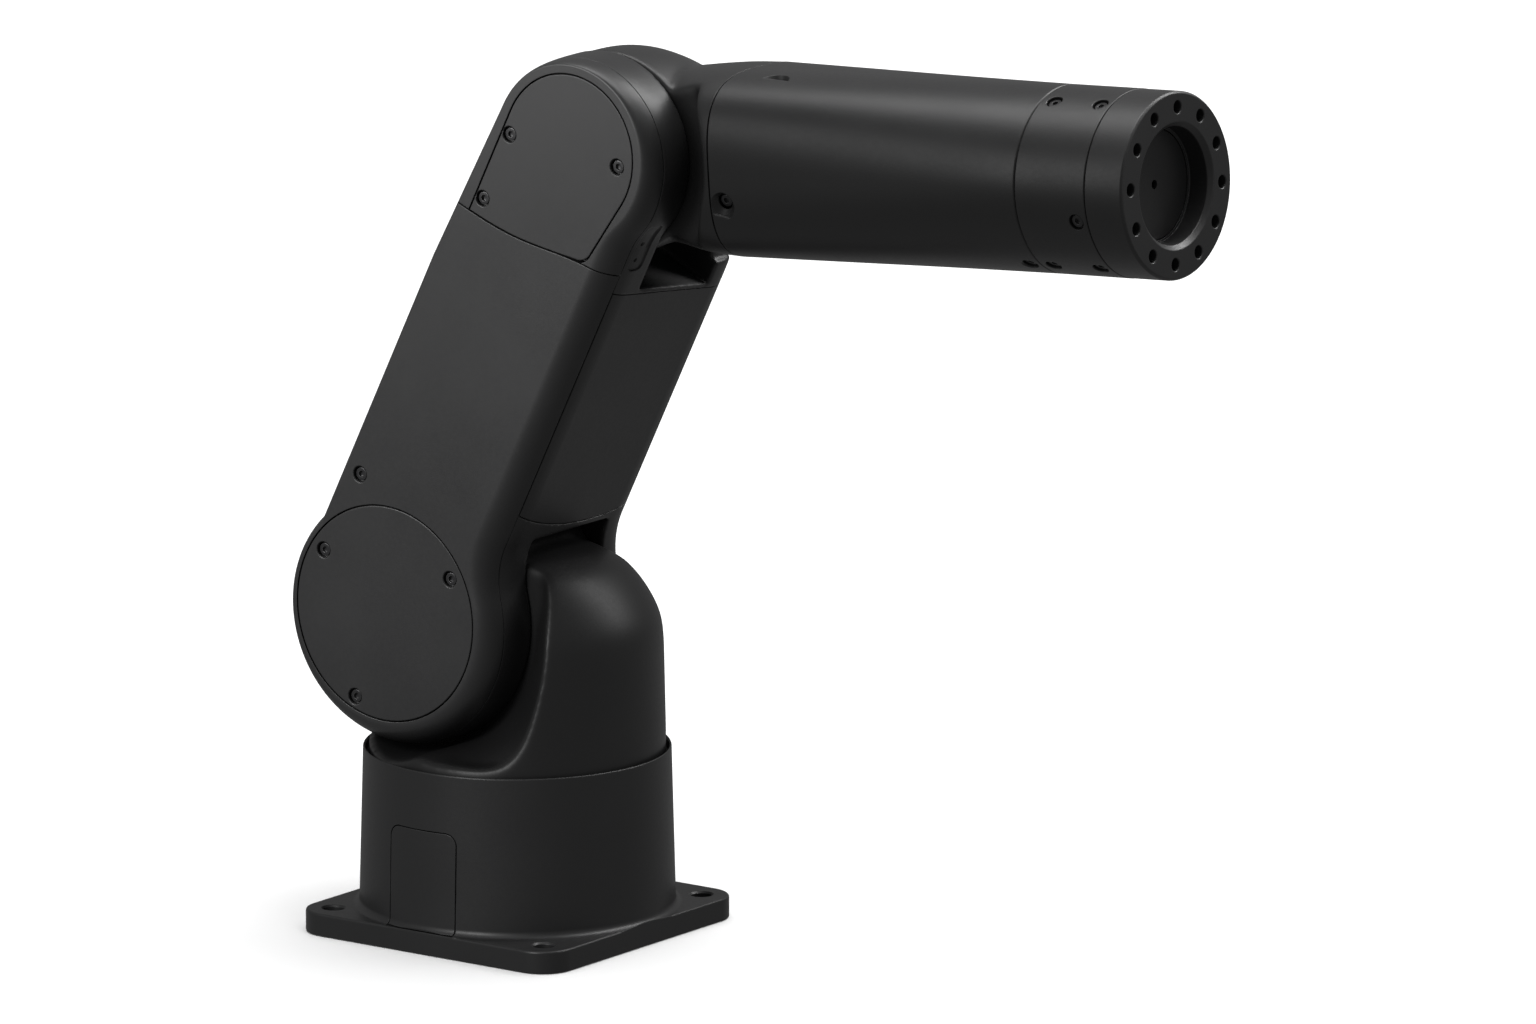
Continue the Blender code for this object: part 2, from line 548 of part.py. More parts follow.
def upper_arm_parts(arm, paint, steel, screw_body):
    face_out = (0, -1, 0)
    shoulder_places = [(u, ARM_FACE_Y, w) for u, w in SHOULDER_SCREWS]
    elbow_places = [(u, ARM_FACE_Y, w) for u, w in ELBOW_SCREWS]
    arm_place = (-36.3, ARM_FACE_Y, 46.0)
    seat_y = ARM_FACE_Y + COVER_THICK + GAP
    hollow_y = seat_y + 1.8
    above = seam_line(-GAP / 2) + [(60, 400), (-60, 400)]
    below = seam_line(GAP / 2) + [(60, -200), (-60, -200)]
    inside = prism([(-36, 52), (22, 52), (22, 205), (-36, 205)], ARM_FACE_Y + ARM_WALL, -30)

    shell = mesh_object("arm_drive_shell", [arm_loft(ARM_FACE_Y, SHELL_JOINT_Y - GAP / 2)], arm, paint)
    cut(shell, arm_loft(hollow_y, SHELL_JOINT_Y + 1, ARM_WALL))
    cut(shell, inside)
    cut(shell, disc(SHOULDER_COVER_R + GAP, -60, seat_y, FINE))
    cut(shell, disc(34, -60, -30, MEDIUM))
    cut(shell, prism(above, -60, -30))
    cut(shell, *[screw_holes(place, face_out) for place in shoulder_places + [arm_place]])
    solve_as_manifold(shell)

    cap = mesh_object("elbow_cap", [arm_loft(ARM_FACE_Y, SHELL_JOINT_Y - GAP / 2)], arm, paint)
    cut(cap, arm_loft(hollow_y, SHELL_JOINT_Y + 1, ARM_WALL))
    cut(cap, prism(elbow_cover_outline(GAP), -60, seat_y))
    cut(cap, disc(20, -60, -30, MEDIUM, centre=ELBOW_COVER_CENTRE))
    cut(cap, prism(below, -60, -30))
    cut(cap, *[screw_holes(place, face_out) for place in elbow_places])

    cover_y = seat_y - GAP
    lid = disc(SHOULDER_COVER_R, ARM_FACE_Y, cover_y, FINE, edge=0.4)
    cover = mesh_object("shoulder_cover", [lid], arm, paint)
    cut(cover, *[screw_holes(place, face_out) for place in shoulder_places])
    lid = prism(elbow_cover_outline(0), ARM_FACE_Y, cover_y)
    cover = mesh_object("elbow_cover", [lid], arm, paint)
    cut(cover, *[screw_holes(place, face_out) for place in elbow_places])

    frame = mesh_object("arm_frame", [arm_loft(SHELL_JOINT_Y + GAP / 2, ARM_BACK_Y)], arm, paint)
    wall_y = EAR_Y[0] - 4
    cut(frame, box((-100, EAR_Y[0], -100), (100, EAR_Y[1], CROTCH_W)))
    cut(frame, prism(elbow_pocket(EAR_Y), -100, 100, "X"))
    cut(frame, disc(48, -60, wall_y, FINE, centre=(2.5, -1)))
    cut(frame, disc(36, -60, wall_y, MEDIUM, centre=(-1.5, ARM_LENGTH)))
    cut(frame, box((-37, -60, 20), (31, wall_y, 200)))
    cut(frame, box((-37, -60, CROTCH_W + 6), (28, 38, POCKET_W - POCKET_FALL - 5)))
    idler = [(-100, 184), (-39, 184)] + arc((0, ARM_LENGTH), 24, 190, -6, 18)
    idler += [(34, 184), (100, 184), (100, 300), (-100, 300)]
    cut(frame, prism(idler, EAR_Y[1] - 1, 90))
    slope = [(90, 150), (ARM_BACK_Y + 1, 150), (38, 186), (38, 300), (90, 300)]
    cut(frame, prism(slope, -100, 100, "X"))
    cut(frame, front_cover_space(GAP))
    elbow = (0, ARM_LENGTH)
    cut(frame, disc(16, -60, -20), disc(14, -60, -20, centre=elbow))
    cut(frame, disc(26.3, ARM_BACK_Y - 3.3, 60), disc(16.3, 35.2, 60, centre=elbow))
    cut(frame, disc(10, 20, 60, COARSE), disc(8, 20, 60, COARSE, centre=elbow))

    front = mesh_object("arm_front_cover", [arm_loft(SHELL_JOINT_Y + GAP / 2, ARM_BACK_Y)], arm, paint)
    combine(front, "INTERSECT", front_cover_space(0))

    hub = [(0, -20.8), (15.5, -20.8), (15.5, wall_y - GAP), (24, wall_y - GAP), (24, -34), (0, -34)]
    mesh_object("shoulder_hub", [turned(hub, MEDIUM, "Y")], arm, steel)
    mesh_object("shoulder_pivot_shaft", [disc(9.7, 17.6, 42.3, COARSE, edge=0.6)], arm, steel)
    mesh_object("shoulder_idler_cover", [disc(26, 42.7, 45.9, MEDIUM, edge=0.4)], arm, paint)
    hub = [(0, -20.8), (13.6, -20.8), (13.6, wall_y - GAP), (20, wall_y - GAP), (20, -34), (0, -34)]
    mesh_object("elbow_hub", [turned(hub, MEDIUM, "Y", elbow)], arm, steel)
    mesh_object("elbow_pivot_shaft", [disc(7.7, 18.6, 34.8, COARSE, centre=elbow, edge=0.6)], arm, steel)
    mesh_object("elbow_idler_cover", [disc(16, 35.5, 37.9, MEDIUM, centre=elbow, edge=0.4)], arm, paint)

    for number, place in enumerate(shoulder_places, 1):
        screw(f"shoulder_cover_screw_{number}", screw_body, arm, place, face_out)
    for number, place in enumerate(elbow_places, 1):
        screw(f"elbow_cover_screw_{number}", screw_body, arm, place, face_out)
    screw("arm_shell_screw", screw_body, arm, arm_place, face_out)


# --- forearm -------------------------------------------------------------------------------------
def tube_rings(stations, inset=0.0):
    """Rings of the forearm tube from (x, half width, half height, power) stations."""
    return [superellipse(y - inset, z - inset, power, TUBE_DROP, x) for x, y, z, power in stations]


def on_tube(x, angle, radius=TUBE_R):
    """A place on the forearm's surface, and its outward direction; angle 0 is +Y, 90 is up."""
    a = math.radians(angle)
    out = (0, math.cos(a), math.sin(a))
    return (x, radius * out[1], TUBE_DROP + radius * out[2]), out


FOREARM_SCREWS = ((81.5, 117.0), (66.0, 197.0), (82.5, 234.0), (207.0, 235.0))
WRIST_SCREWS = ((219.0, 115.0), (241.7, 115.0), (241.7, 195.0), (218.5, 235.0), (241.7, 235.0))
WRIST_SCREWS += ((219.0, 355.0), (241.7, 355.0))


def neck_clearance(near, far):
    """Room round an ear's round end, flared outwards where it meets the neck."""
    side = 1 if far > near else -1
    profile = [(0, near)] + [(EAR_CLEARANCE_R + grow, near + side * depth) for grow, depth in NECK_FLARE]
    profile += [(EAR_CLEARANCE_R + NECK_FLARE[-1][0], far), (0, far)]
    return turned(profile if side < 0 else profile[::-1], FINE, "Y")


def forearm_parts(forearm, paint, steel, screw_body):
    crown = [(0, 29), (29.8, 29), (31.5, 25), (35.5, 16), (39.5, 5), (41.8, -5), (42.5, -14)]
    crown += [(42.5, -27), (0, -27)]
    knuckle = mesh_object("elbow_knuckle", [turned(crown, FINE, "Y")], forearm, paint)
    neck = [(0, 25, 33, 2.2), (25, 32, 36.5, 2.4), (44, 38.6, 38.2, 2.8)]
    neck.append((ROOT_X - GAP / 2, 39.2, 38.5, 3.2))
    join(knuckle, loft(tube_rings(neck)))
    for near, far in ((-60, HEAD_Y[0]), (HEAD_Y[1], 60)):
        cut(knuckle, neck_clearance(near, far))
        cut(knuckle, swing_bay((0, 0), *NECK_BAY, near, far))
    hollow = [(0, 22.7), (26.5, 22.7), (33, 10), (37.5, -6), (37.5, -20.7), (0, -20.7)]
    cut(knuckle, turned(hollow, MEDIUM, "Y"))
    cut(knuckle, disc(22, 20, 80, MEDIUM, "X", (0, TUBE_DROP)))
    cut(knuckle, disc(14.2, -60, -18, MEDIUM), disc(15, 20, 60, COARSE))
    solve_as_manifold(knuckle)

    middle = [(100, 38.8, 38.5, 2.8), (160, 38.5, 38.4, 2.3)]
    root_ring, wrist_ring = (39.2, 38.5, 3.2), (TUBE_R, TUBE_R, 2.0)
    skin = [(ROOT_X + GAP / 2, *root_ring)] + middle + [(WRIST_X - GAP / 2, *wrist_ring)]
    tube = mesh_object("forearm_shell", [loft(tube_rings(skin))], forearm, paint)
    through = [(ROOT_X - 5, *root_ring)] + middle + [(WRIST_X + 5, *wrist_ring)]
    cut(tube, loft(tube_rings(through, TUBE_WALL)))
    forearm_spots = [on_tube(x, angle) for x, angle in FOREARM_SCREWS]
    cut(tube, *[screw_holes(place, out) for place, out in forearm_spots])

    axis = (0, TUBE_DROP)
    drum = disc(TUBE_R, WRIST_X + GAP / 2, TOOL_X - GAP / 2, FINE, "X", axis, 0.3)
    wrist = mesh_object("wrist_housing", [drum], forearm, paint)
    cut(wrist, disc(31, 200, 260, MEDIUM, "X", axis))
    cut(wrist, disc(34.2, 224.7, 260, MEDIUM, "X", axis))
    wrist_spots = [on_tube(x, angle) for x, angle in WRIST_SCREWS]
    cut(wrist, *[screw_holes(place, out) for place, out in wrist_spots])

    mesh_object("j3_gear_unit", [disc(34.5, -20.4, -4, MEDIUM, edge=1.2)], forearm, steel)
    mesh_object("j3_motor", [disc(26, -3.7, 14, MEDIUM, edge=1.2)], forearm, steel)
    mesh_object("elbow_bearing", [ring(8, 14.7, 19, 26.4, COARSE)], forearm, steel)
    mesh_object("j4_motor", [disc(25, 160, 196, MEDIUM, "X", axis, 1.2)], forearm, steel)
    mesh_object("j4_gear_unit", [disc(30, 196.3, 224, MEDIUM, "X", axis, 1.2)], forearm, steel)
    mesh_object("wrist_bearing", [ring(26, 33.9, 225.0, 236.5, MEDIUM, "X", axis)], forearm, steel)

    for number, (place, out) in enumerate(forearm_spots, 1):
        screw(f"forearm_screw_{number}", screw_body, forearm, place, out)
    for number, (place, out) in enumerate(wrist_spots, 1):
        screw(f"wrist_screw_{number}", screw_body, forearm, place, out)


# --- tool flange, drawn round its own X axis ------------------------------------------------------
def tool_parts(tool, paint, steel):
    back, face = TOOL_X + GAP / 2 - FLANGE_X, 0.0
    floor = face - FLANGE_BORE_DEPTH
    profile = [(0, floor), (FLANGE_BORE_R, floor), (FLANGE_BORE_R, face - 2), (FLANGE_BORE_R + 2, face)]
    profile += [(FLANGE_FACE_R, face), (FLANGE_R, face - 0.9)]
    profile += [(FLANGE_R, back + 0.3), (FLANGE_R - 0.3, back), (0, back)]
    flange = mesh_object("tool_flange", [turned(profile, FINE, "X")], tool, paint)
    circle = []
    for number in range(FLANGE_HOLES):
        angle = math.radians(FLANGE_PHASE + 360 / FLANGE_HOLES * number)
        centre = (-FLANGE_HOLE_CIRCLE_R * math.sin(angle), FLANGE_HOLE_CIRCLE_R * math.cos(angle))
        circle.append(disc(FLANGE_HOLE_R, -9, 3, SMALL, "X", centre))
    cut(flange, *circle)
    cut(flange, disc(22.9, floor - 2.1, 0, along="X"))
    cut(flange, disc(4, -40, 0, COARSE, "X"))
    plate = disc(22.6, floor - 1.8, floor - 0.4, MEDIUM, "X", edge=0.2)
    centre_disc = mesh_object("flange_centre_disc", [plate], tool, paint)
    cut(centre_disc, disc(1.9, -40, 0, SMALL, "X"))
    hub_end = back - GAP
    hub = [(0, hub_end), (25.7, hub_end), (25.7, hub_end - 15), (0, hub_end - 15)]
    mesh_object("wrist_output_hub", [turned(hub, MEDIUM, "X")], tool, steel)


def main():
    clear_scene()
    paint = material("black_powder_coat", (0.022, 0.022, 0.023), 0.55, 0.0)
    steel = material("machined_steel", (0.45, 0.45, 0.46), 0.35, 1.0)
    screw_steel = material("black_oxide_steel", (0.03, 0.03, 0.03), 0.4, 0.8)
    board = material("circuit_board", (0.02, 0.09, 0.04), 0.5)
    plastic = material("black_plastic", (0.03, 0.03, 0.03), 0.5)

    root = axis_empty("base_frame", None, Matrix.Identity(4))
    turret = axis_empty("base_yaw_axis", root, Matrix.Identity(4))
    arm_turn = Matrix.Rotation(math.radians(LEAN), 4, "Y")
    arm = axis_empty("shoulder_axis", turret, shift(SHOULDER_X, 0, SHOULDER_Z) @ arm_turn)
    forearm_turn = Matrix.Rotation(math.radians(-TILT - LEAN), 4, "Y")
    forearm = axis_empty("elbow_axis", arm, shift(0, 0, ARM_LENGTH) @ forearm_turn)
    tool = axis_empty("wrist_axis", forearm, shift(FLANGE_X, 0, TUBE_DROP))

    screw_body = screw_mesh(screw_steel)
    base_parts(root, paint, steel, board, plastic)
    turret_parts(turret, paint, steel)
    upper_arm_parts(arm, paint, steel, screw_body)
    forearm_parts(forearm, paint, steel, screw_body)
    tool_parts(tool, paint, steel)


main()
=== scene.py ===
"""Looks of the desktop robot arm: fine surfaces, finishes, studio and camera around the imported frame.

Lengths are in millimetres until a mesh is made, as in the part's own source, and every piece is
drawn in the frame of the body that it rides on. Pieces whose edges are cast soft are voxel
remeshed and smoothed first, and get their crisp machined cuts afterwards.
"""

import json
import math

import bmesh
import bpy
from mathutils import Matrix, Vector

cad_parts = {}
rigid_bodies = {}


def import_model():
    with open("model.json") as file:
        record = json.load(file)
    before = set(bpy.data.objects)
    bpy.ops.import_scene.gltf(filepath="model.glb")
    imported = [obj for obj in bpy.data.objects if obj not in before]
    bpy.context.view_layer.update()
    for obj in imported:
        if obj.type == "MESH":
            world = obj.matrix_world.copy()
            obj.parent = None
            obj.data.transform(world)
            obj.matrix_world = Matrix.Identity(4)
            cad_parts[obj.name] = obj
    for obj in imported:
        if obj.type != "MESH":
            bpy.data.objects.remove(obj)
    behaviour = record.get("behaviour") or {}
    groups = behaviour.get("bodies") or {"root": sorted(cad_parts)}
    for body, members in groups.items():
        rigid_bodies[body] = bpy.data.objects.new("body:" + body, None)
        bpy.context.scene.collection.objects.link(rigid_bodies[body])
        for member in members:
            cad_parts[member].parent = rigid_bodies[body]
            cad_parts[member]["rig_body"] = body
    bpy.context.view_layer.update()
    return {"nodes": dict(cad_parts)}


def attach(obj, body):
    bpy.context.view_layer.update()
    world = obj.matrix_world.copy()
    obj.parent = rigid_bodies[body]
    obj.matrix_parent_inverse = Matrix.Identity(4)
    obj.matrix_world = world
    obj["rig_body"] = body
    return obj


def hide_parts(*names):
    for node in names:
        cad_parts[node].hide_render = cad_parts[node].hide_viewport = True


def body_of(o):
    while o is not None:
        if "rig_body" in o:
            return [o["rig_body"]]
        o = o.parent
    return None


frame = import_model()

MM = 0.001
GAP = 0.3
SEAM_ROOM = 0.3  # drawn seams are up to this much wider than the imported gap, as their edges are broken
FINE, MEDIUM, COARSE, SMALL = 176, 112, 64, 40  # facets round a circle

PLATE_SIDE, PLATE_THICK, PLATE_CORNER = 133.6, 9.5, 14.0
MOUNT_HOLE_PITCH, MOUNT_HOLE_R = 109.0, 4.5
BASE_FOOT_R, BASE_RIM_R, BASE_RIM_Z, BASE_FLARE, BASE_WALL = 65.7, 64.0, 76.7, 3.0, 5.0
PANEL_X, PANEL_TOP_Z, PANEL_CORNER, PANEL_THICK = (-18.5, 15.5), 52.0, 5.0, 3.0
PANEL_ROOM = 0.1  # the panel is this much smaller, and its opening this much larger, than packed
REAR_PANEL = ((-23.7, 16.3), (23.7, 45.7))  # corners as (y, z), as for the sockets below
DATA_SOCKET = ((4.0, 23.0), (20.0, 39.0))
POWER_SOCKET, POWER_SOCKET_R, SOCKET_FACE_X = (-11.0, 31.0), 9.0, -66.6
BEARING_SEAT_R, BEARING_SEAT_Z, TURRET_ROOM_Z = 58.9, 66.0, 72.4

TURRET_R, TURRET_TOP_R, TURRET_BOTTOM_Z = 61.7, 60.9, 73.5
SHOULDER_X, SHOULDER_Z, KNUCKLE_R = -30.7, 137.1, 54.0
YAW_HUB_R, TURRET_DRIVE_R, TURRET_ROOM = 20.0, 47.0, ((0, -19, 79), (49, 19, 126))
HEAD_Y, EAR_Y = (-24.7, 26.7), (-25.0, 27.0)

LEAN, TILT, ARM_LENGTH = 25.9, 3.95, 224.5  # degrees that the arm leans and the forearm points up
ARM_FACE_Y, ARM_BACK_Y, ROUND_DEPTH, SHELL_JOINT_Y = -50.0, 46.0, 16.0, -42.0
ARM_WALL, COVER_THICK = 4.0, 3.2
# side outlines: foot and head as (across, along, radius), back edge, front edge, blend radius
LIMB_MIDDLE = ((3.2, -1.0, 54.8), (-1.5, ARM_LENGTH, 42.0), -47.4, 37.5, 34.0)
LIMB_FACE = ((0.0, -0.5, 46.4), (-4.4, 226.6, 36.4), -43.4, 25.5, 40.0)
LIMB_BACK = ((1.5, -1.0, 43.0), (-2.5, 225.0, 32.0), -35.0, 25.5, 46.0)
EAR_RECESS, EAR_RECESS_DEPTH = ((-40.0, 193.0), (-31.5, 216.0)), 0.5  # corners as (y, along)
EAR_RECESS_SCREWS = ((-37.0, 206.0), (-37.0, 198.0))
SHOULDER_COVER_R, ELBOW_COVER_R, ELBOW_COVER_CENTRE = 45.2, 32.4, (-4.3, 226.8)
BACK_EDGE_TOP, CROTCH_W, POCKET_W, POCKET_FALL = 150.0, 56.0, 181.0, 7.5
SEAM_MIDDLE, SEAM_RISE, SEAM_SPREAD = (4.0, 184.3), 7.4, 26.0  # the S-shaped seam under the elbow cap
FRONT_COVER_LOW, FRONT_COVER_BOW = (12.0, 59.5), 0.0041  # its bowed lower edge: lowest point, bow
SHOULDER_IDLER_R, ELBOW_IDLER_R, IDLER_CUT_W = 26.0, 16.0, 184.0
SHOULDER_HUB_HOLE_R, SHOULDER_SHAFT_R, SHOULDER_BEARING_R = 16.0, 9.7, 17.7
ELBOW_HUB_HOLE_R, ELBOW_SHAFT_R, ELBOW_BEARING_R = 14.0, 7.7, 14.7

TUBE_DROP, TUBE_R, TUBE_WALL = -3.4, 38.4, 3.2
ROOT_X, WRIST_X, TOOL_X, FLANGE_X = 59.8, 212.7, 247.2, 265.7
EAR_CLEARANCE_R = 44.4  # the room in the knuckle's neck for the ears' round ends
NECK_FLARE = ((0, 0), (0.8, 2), (3.2, 5), (7.1, 9), (11.6, 13.6))  # (grow, depth)
EAR_ROOM_R = 60.5  # the hollows in the turret that the arm's ears turn in
EAR_BAY_ANGLES, EAR_BAY_STEPS, EAR_BAY_LEAN = (-70.0, 80.0), 72, 6.0
EAR_BAY_LEAN_START, EAR_BAY_LEAN_RUN, EAR_BAY_FLARE_RUN = -6.0, 22.0, 38.0  # degrees
EAR_BAY_LOW_Z = 80.0  # under this the turret's lowest ring stays whole
EAR_BAY_FLARE = ((0, 0), (2.5, 3), (8.5, 9), (17, 17), (27, 26), (40, 36), (40, 66))  # (grow, depth)
NECK_BAY = (44.0, 54.0, -12.0, -38.0, -100.0)  # two radii, then the angles of swing_bay
WRIST_DRIVE_R, WRIST_SEAT_R, WRIST_SEAT_X = 31.0, 34.2, 224.7
FLANGE_R, FLANGE_FACE_R, FLANGE_BORE_R, FLANGE_BORE_DEPTH, PLUG_R = 38.3, 37.4, 24.0, 10.6, 22.6
FLANGE_HOLES, FLANGE_HOLE_R, FLANGE_HOLE_CIRCLE_R, FLANGE_PHASE = 12, 2.7, 31.8, -6.4

SCREW_HEAD_R, SCREW_HEAD_H, COUNTERBORE_R, SCREW_SHANK_R, SCREW_SHANK = 2.7, 2.2, 3.4, 1.4, 4.0
HEAD_TOP = -0.7  # the drawn head's top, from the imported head's top
HEAD_LIFT, HEX_SOCKET_R = 0.2, 1.35  # a head's room over its seat, and its socket's corners
SCREW_SINK = 2.7  # depth of the counterbore's floor below the surface
# on the arm's face as (across, along), and round the tube as (x, angle in degrees)
SHOULDER_SCREWS = ((-38.4, 6.6), (22.0, 31.8), (2.2, -40.4))
ELBOW_SCREWS = ((-33.1, 217.2), (19.2, 234.9), (-33.1, 185.6))
SHELL_SCREW = (-36.3, 46.0)
FOREARM_SCREWS = ((81.5, 117.0), (66.0, 197.0), (82.5, 234.0), (207.0, 235.0))
WRIST_SCREWS = ((219.0, 115.0), (241.7, 115.0), (241.7, 195.0), (218.5, 235.0), (241.7, 235.0))
WRIST_SCREWS += ((219.0, 355.0), (241.7, 355.0))


# --- frames of the bodies at rest ---------------------------------------------------------------
def shift(x, y, z):
    return Matrix.Translation(Vector((x, y, z)) * MM)


def turn_y(degrees):
    return Matrix.Rotation(math.radians(degrees), 4, "Y")


WORLD = Matrix.Identity(4)
ARM = shift(SHOULDER_X, 0, SHOULDER_Z) @ turn_y(LEAN)
FOREARM = ARM @ shift(0, 0, ARM_LENGTH) @ turn_y(-TILT - LEAN)
TOOL = FOREARM @ shift(FLANGE_X, 0, TUBE_DROP)
BODY_FRAME = {"base": WORLD, "turret": WORLD, "upper_arm": ARM, "forearm": FOREARM, "tool": TOOL}


# --- points and profiles ------------------------------------------------------------------------
def arc(centre, radius, start, end, steps):
    turn = (end - start) / steps
    angles = [math.radians(start + turn * k) for k in range(steps + 1)]
    return [(centre[0] + radius * math.cos(a), centre[1] + radius * math.sin(a)) for a in angles]


def eased(points, radius, steps=5, closed=False):
    """The same polyline with each corner rounded; the ends of an open line stay."""
    made, count = [], len(points)
    for k, spot in enumerate(points):
        if not closed and k in (0, count - 1):
            made.append(spot)
            continue
        here, back, ahead = Vector(spot), Vector(points[k - 1]), Vector(points[(k + 1) % count])
        reach = min(radius, (back - here).length * 0.45, (ahead - here).length * 0.45)
        start = here + (back - here).normalized() * reach
        end = here + (ahead - here).normalized() * reach
        for step in range(steps + 1):
            t = step / steps
            made.append(tuple(start * (1 - t) ** 2 + here * 2 * t * (1 - t) + end * t ** 2))
    return made


def eased_share(share):
    """Runs from 0 to 1 without a sudden start or end."""
    share = min(1.0, max(0.0, share))
    return share * share * (3 - 2 * share)


def rectangle(low, high, grow=0.0):
    left, bottom, right, top = low[0] - grow, low[1] - grow, high[0] + grow, high[1] + grow
    return [(left, bottom), (right, bottom), (right, top), (left, top)]


def spline(points, steps=6):
    """A smooth curve through the points."""
    ends = [Vector(points[0]) * 2 - Vector(points[1]), Vector(points[-1]) * 2 - Vector(points[-2])]
    line = [ends[0]] + [Vector(p) for p in points] + [ends[1]]
    made = []
    for a, b, c, d in zip(line, line[1:], line[2:], line[3:]):
        for step in range(steps):
            t = step / steps
            curve = b * 2 + (c - a) * t + (a * 2 - b * 5 + c * 4 - d) * t ** 2
            made.append(tuple((curve + (b * 3 - a - c * 3 + d) * t ** 3) * 0.5))
    return made + [tuple(points[-1])]


# --- closed shapes: (points, faces) -------------------------------------------------------------
def loft(rings):
    count = len(rings[0])
    points = [point for ring in rings for point in ring]
    faces = [list(range(count)), list(range(len(points) - count, len(points)))]
    for row in range(len(rings) - 1):
        low, high = row * count, (row + 1) * count
        for k in range(count):
            after = (k + 1) % count
            faces.append([low + k, low + after, high + after, high + k])
    return points, faces


PLACES = {
    "X": lambda a, b, c: (c, a, b),
    "Y": lambda a, b, c: (a, c, b),
    "Z": lambda a, b, c: (a, b, c),
}


def prism(outline, low, high, along="Y"):
    place = PLACES[along]
    return loft([[place(a, b, c) for a, b in outline] for c in (low, high)])


def box(low, high):
    return prism(rectangle(low, high), low[2], high[2], along="Z")


def turned(profile, facets, along="Z", centre=(0, 0)):
    """A body turned round an axis from (radius, height) points."""
    place = PLACES[along]

    def spot(a, b, height):
        x, y, z = place(a, b, height)
        move = place(centre[0], centre[1], 0)
        return x + move[0], y + move[1], z + move[2]

    points, rows = [], []
    for radius, height in profile:
        if radius < 1e-6:
            rows.append([len(points)] * facets)
            points.append(spot(0, 0, height))
            continue
        rows.append(list(range(len(points), len(points) + facets)))
        for k in range(facets):
            angle = math.tau * k / facets
            points.append(spot(radius * math.cos(angle), radius * math.sin(angle), height))
    pairs = list(zip(rows, rows[1:])) + ([] if profile[0][0] < 1e-6 else [(rows[-1], rows[0])])
    faces = []
    for first, second in pairs:
        for k in range(facets):
            after = (k + 1) % facets
            faces.append(list(dict.fromkeys([first[k], first[after], second[after], second[k]])))
    return points, [face for face in faces if len(face) > 2]


def disc(radius, low, high, facets=MEDIUM, along="Y", centre=(0, 0), edge=0.0):
    profile = [(0, high), (radius, high), (radius, low), (0, low)]
    return turned(eased(profile, edge) if edge else profile, facets, along, centre)


def ring(inner, outer, low, high, facets, along, centre):
    profile = [(inner, low), (inner, high), (outer, high), (outer, low)]
    return turned(profile, facets, along, centre)


def swing_bay(centre, narrow, wide, closed, opened, end, near, far):
    """Room for something that swings round centre, out to the angle end.

    Its radius grows from narrow to wide between the angles closed and opened.
    """
    outline, steps = [centre], 60
    for k in range(steps + 1):
        angle = closed + (end - closed) * k / steps
        radius = narrow + (wide - narrow) * eased_share((angle - closed) / (opened - closed))
        turn = math.radians(angle)
        outline.append((centre[0] + radius * math.cos(turn), centre[1] + radius * math.sin(turn)))
    return prism(outline, near, far)


def rounded_square(half, corner, steps=14):
    inner = half - corner
    outline = []
    for quarter, (x, y) in enumerate(((1, 1), (-1, 1), (-1, -1), (1, -1))):
        outline += arc((inner * x, inner * y), corner, 90 * quarter, 90 * quarter + 90, steps)
    return outline


def superellipse(half_y, half_z, power, middle_z, x, facets=FINE):
    made = []
    for k in range(facets):
        angle = math.tau * k / facets
        c, s = math.cos(angle), math.sin(angle)
        scale = (abs(c) ** power + abs(s) ** power) ** (-1 / power)
        made.append((x, half_y * scale * c, middle_z + half_z * scale * s))
    return made


# --- objects ------------------------------------------------------------------------------------
def mesh_object(name, shape, matrix=WORLD):
    points, faces = shape
    made = bpy.data.objects.new(name, bpy.data.meshes.new(name))
    bpy.context.scene.collection.objects.link(made)
    made.matrix_world = matrix
    work = bmesh.new()
    corners = [work.verts.new(Vector(point) * MM) for point in points]
    for face in faces:
        work.faces.new([corners[k] for k in face])
    bmesh.ops.recalc_face_normals(work, faces=work.faces)
    if work.calc_volume(signed=True) < 0:
        bmesh.ops.reverse_faces(work, faces=work.faces)
    work.to_mesh(made.data)
    work.free()
    return made


def add_boolean(target, operation, tool):
    step = target.modifiers.new(tool.name, "BOOLEAN")
    step.operation = operation
    step.solver = "MANIFOLD"
    step.object = tool
    return target


def combine(target, operation, shape):
    name = f"{target.name}.tool.{len(target.modifiers)}"
    return add_boolean(target, operation, mesh_object(name, shape, target.matrix_world))


def cut(target, *shapes):
    for shape in shapes:
        combine(target, "DIFFERENCE", shape)
    return target


def join(target, shape):
    return combine(target, "UNION", shape)


def keep(target, shape):
    return combine(target, "INTERSECT", shape)


def soften(target, voxel, rounds):
    """Rounds off every edge made so far, as a casting's edges are."""
    remesh = target.modifiers.new("cast skin", "REMESH")
    remesh.mode = "VOXEL"
    remesh.voxel_size = voxel * MM
    smooth = target.modifiers.new("cast radius", "SMOOTH")
    smooth.factor = 0.5
    smooth.iterations = rounds


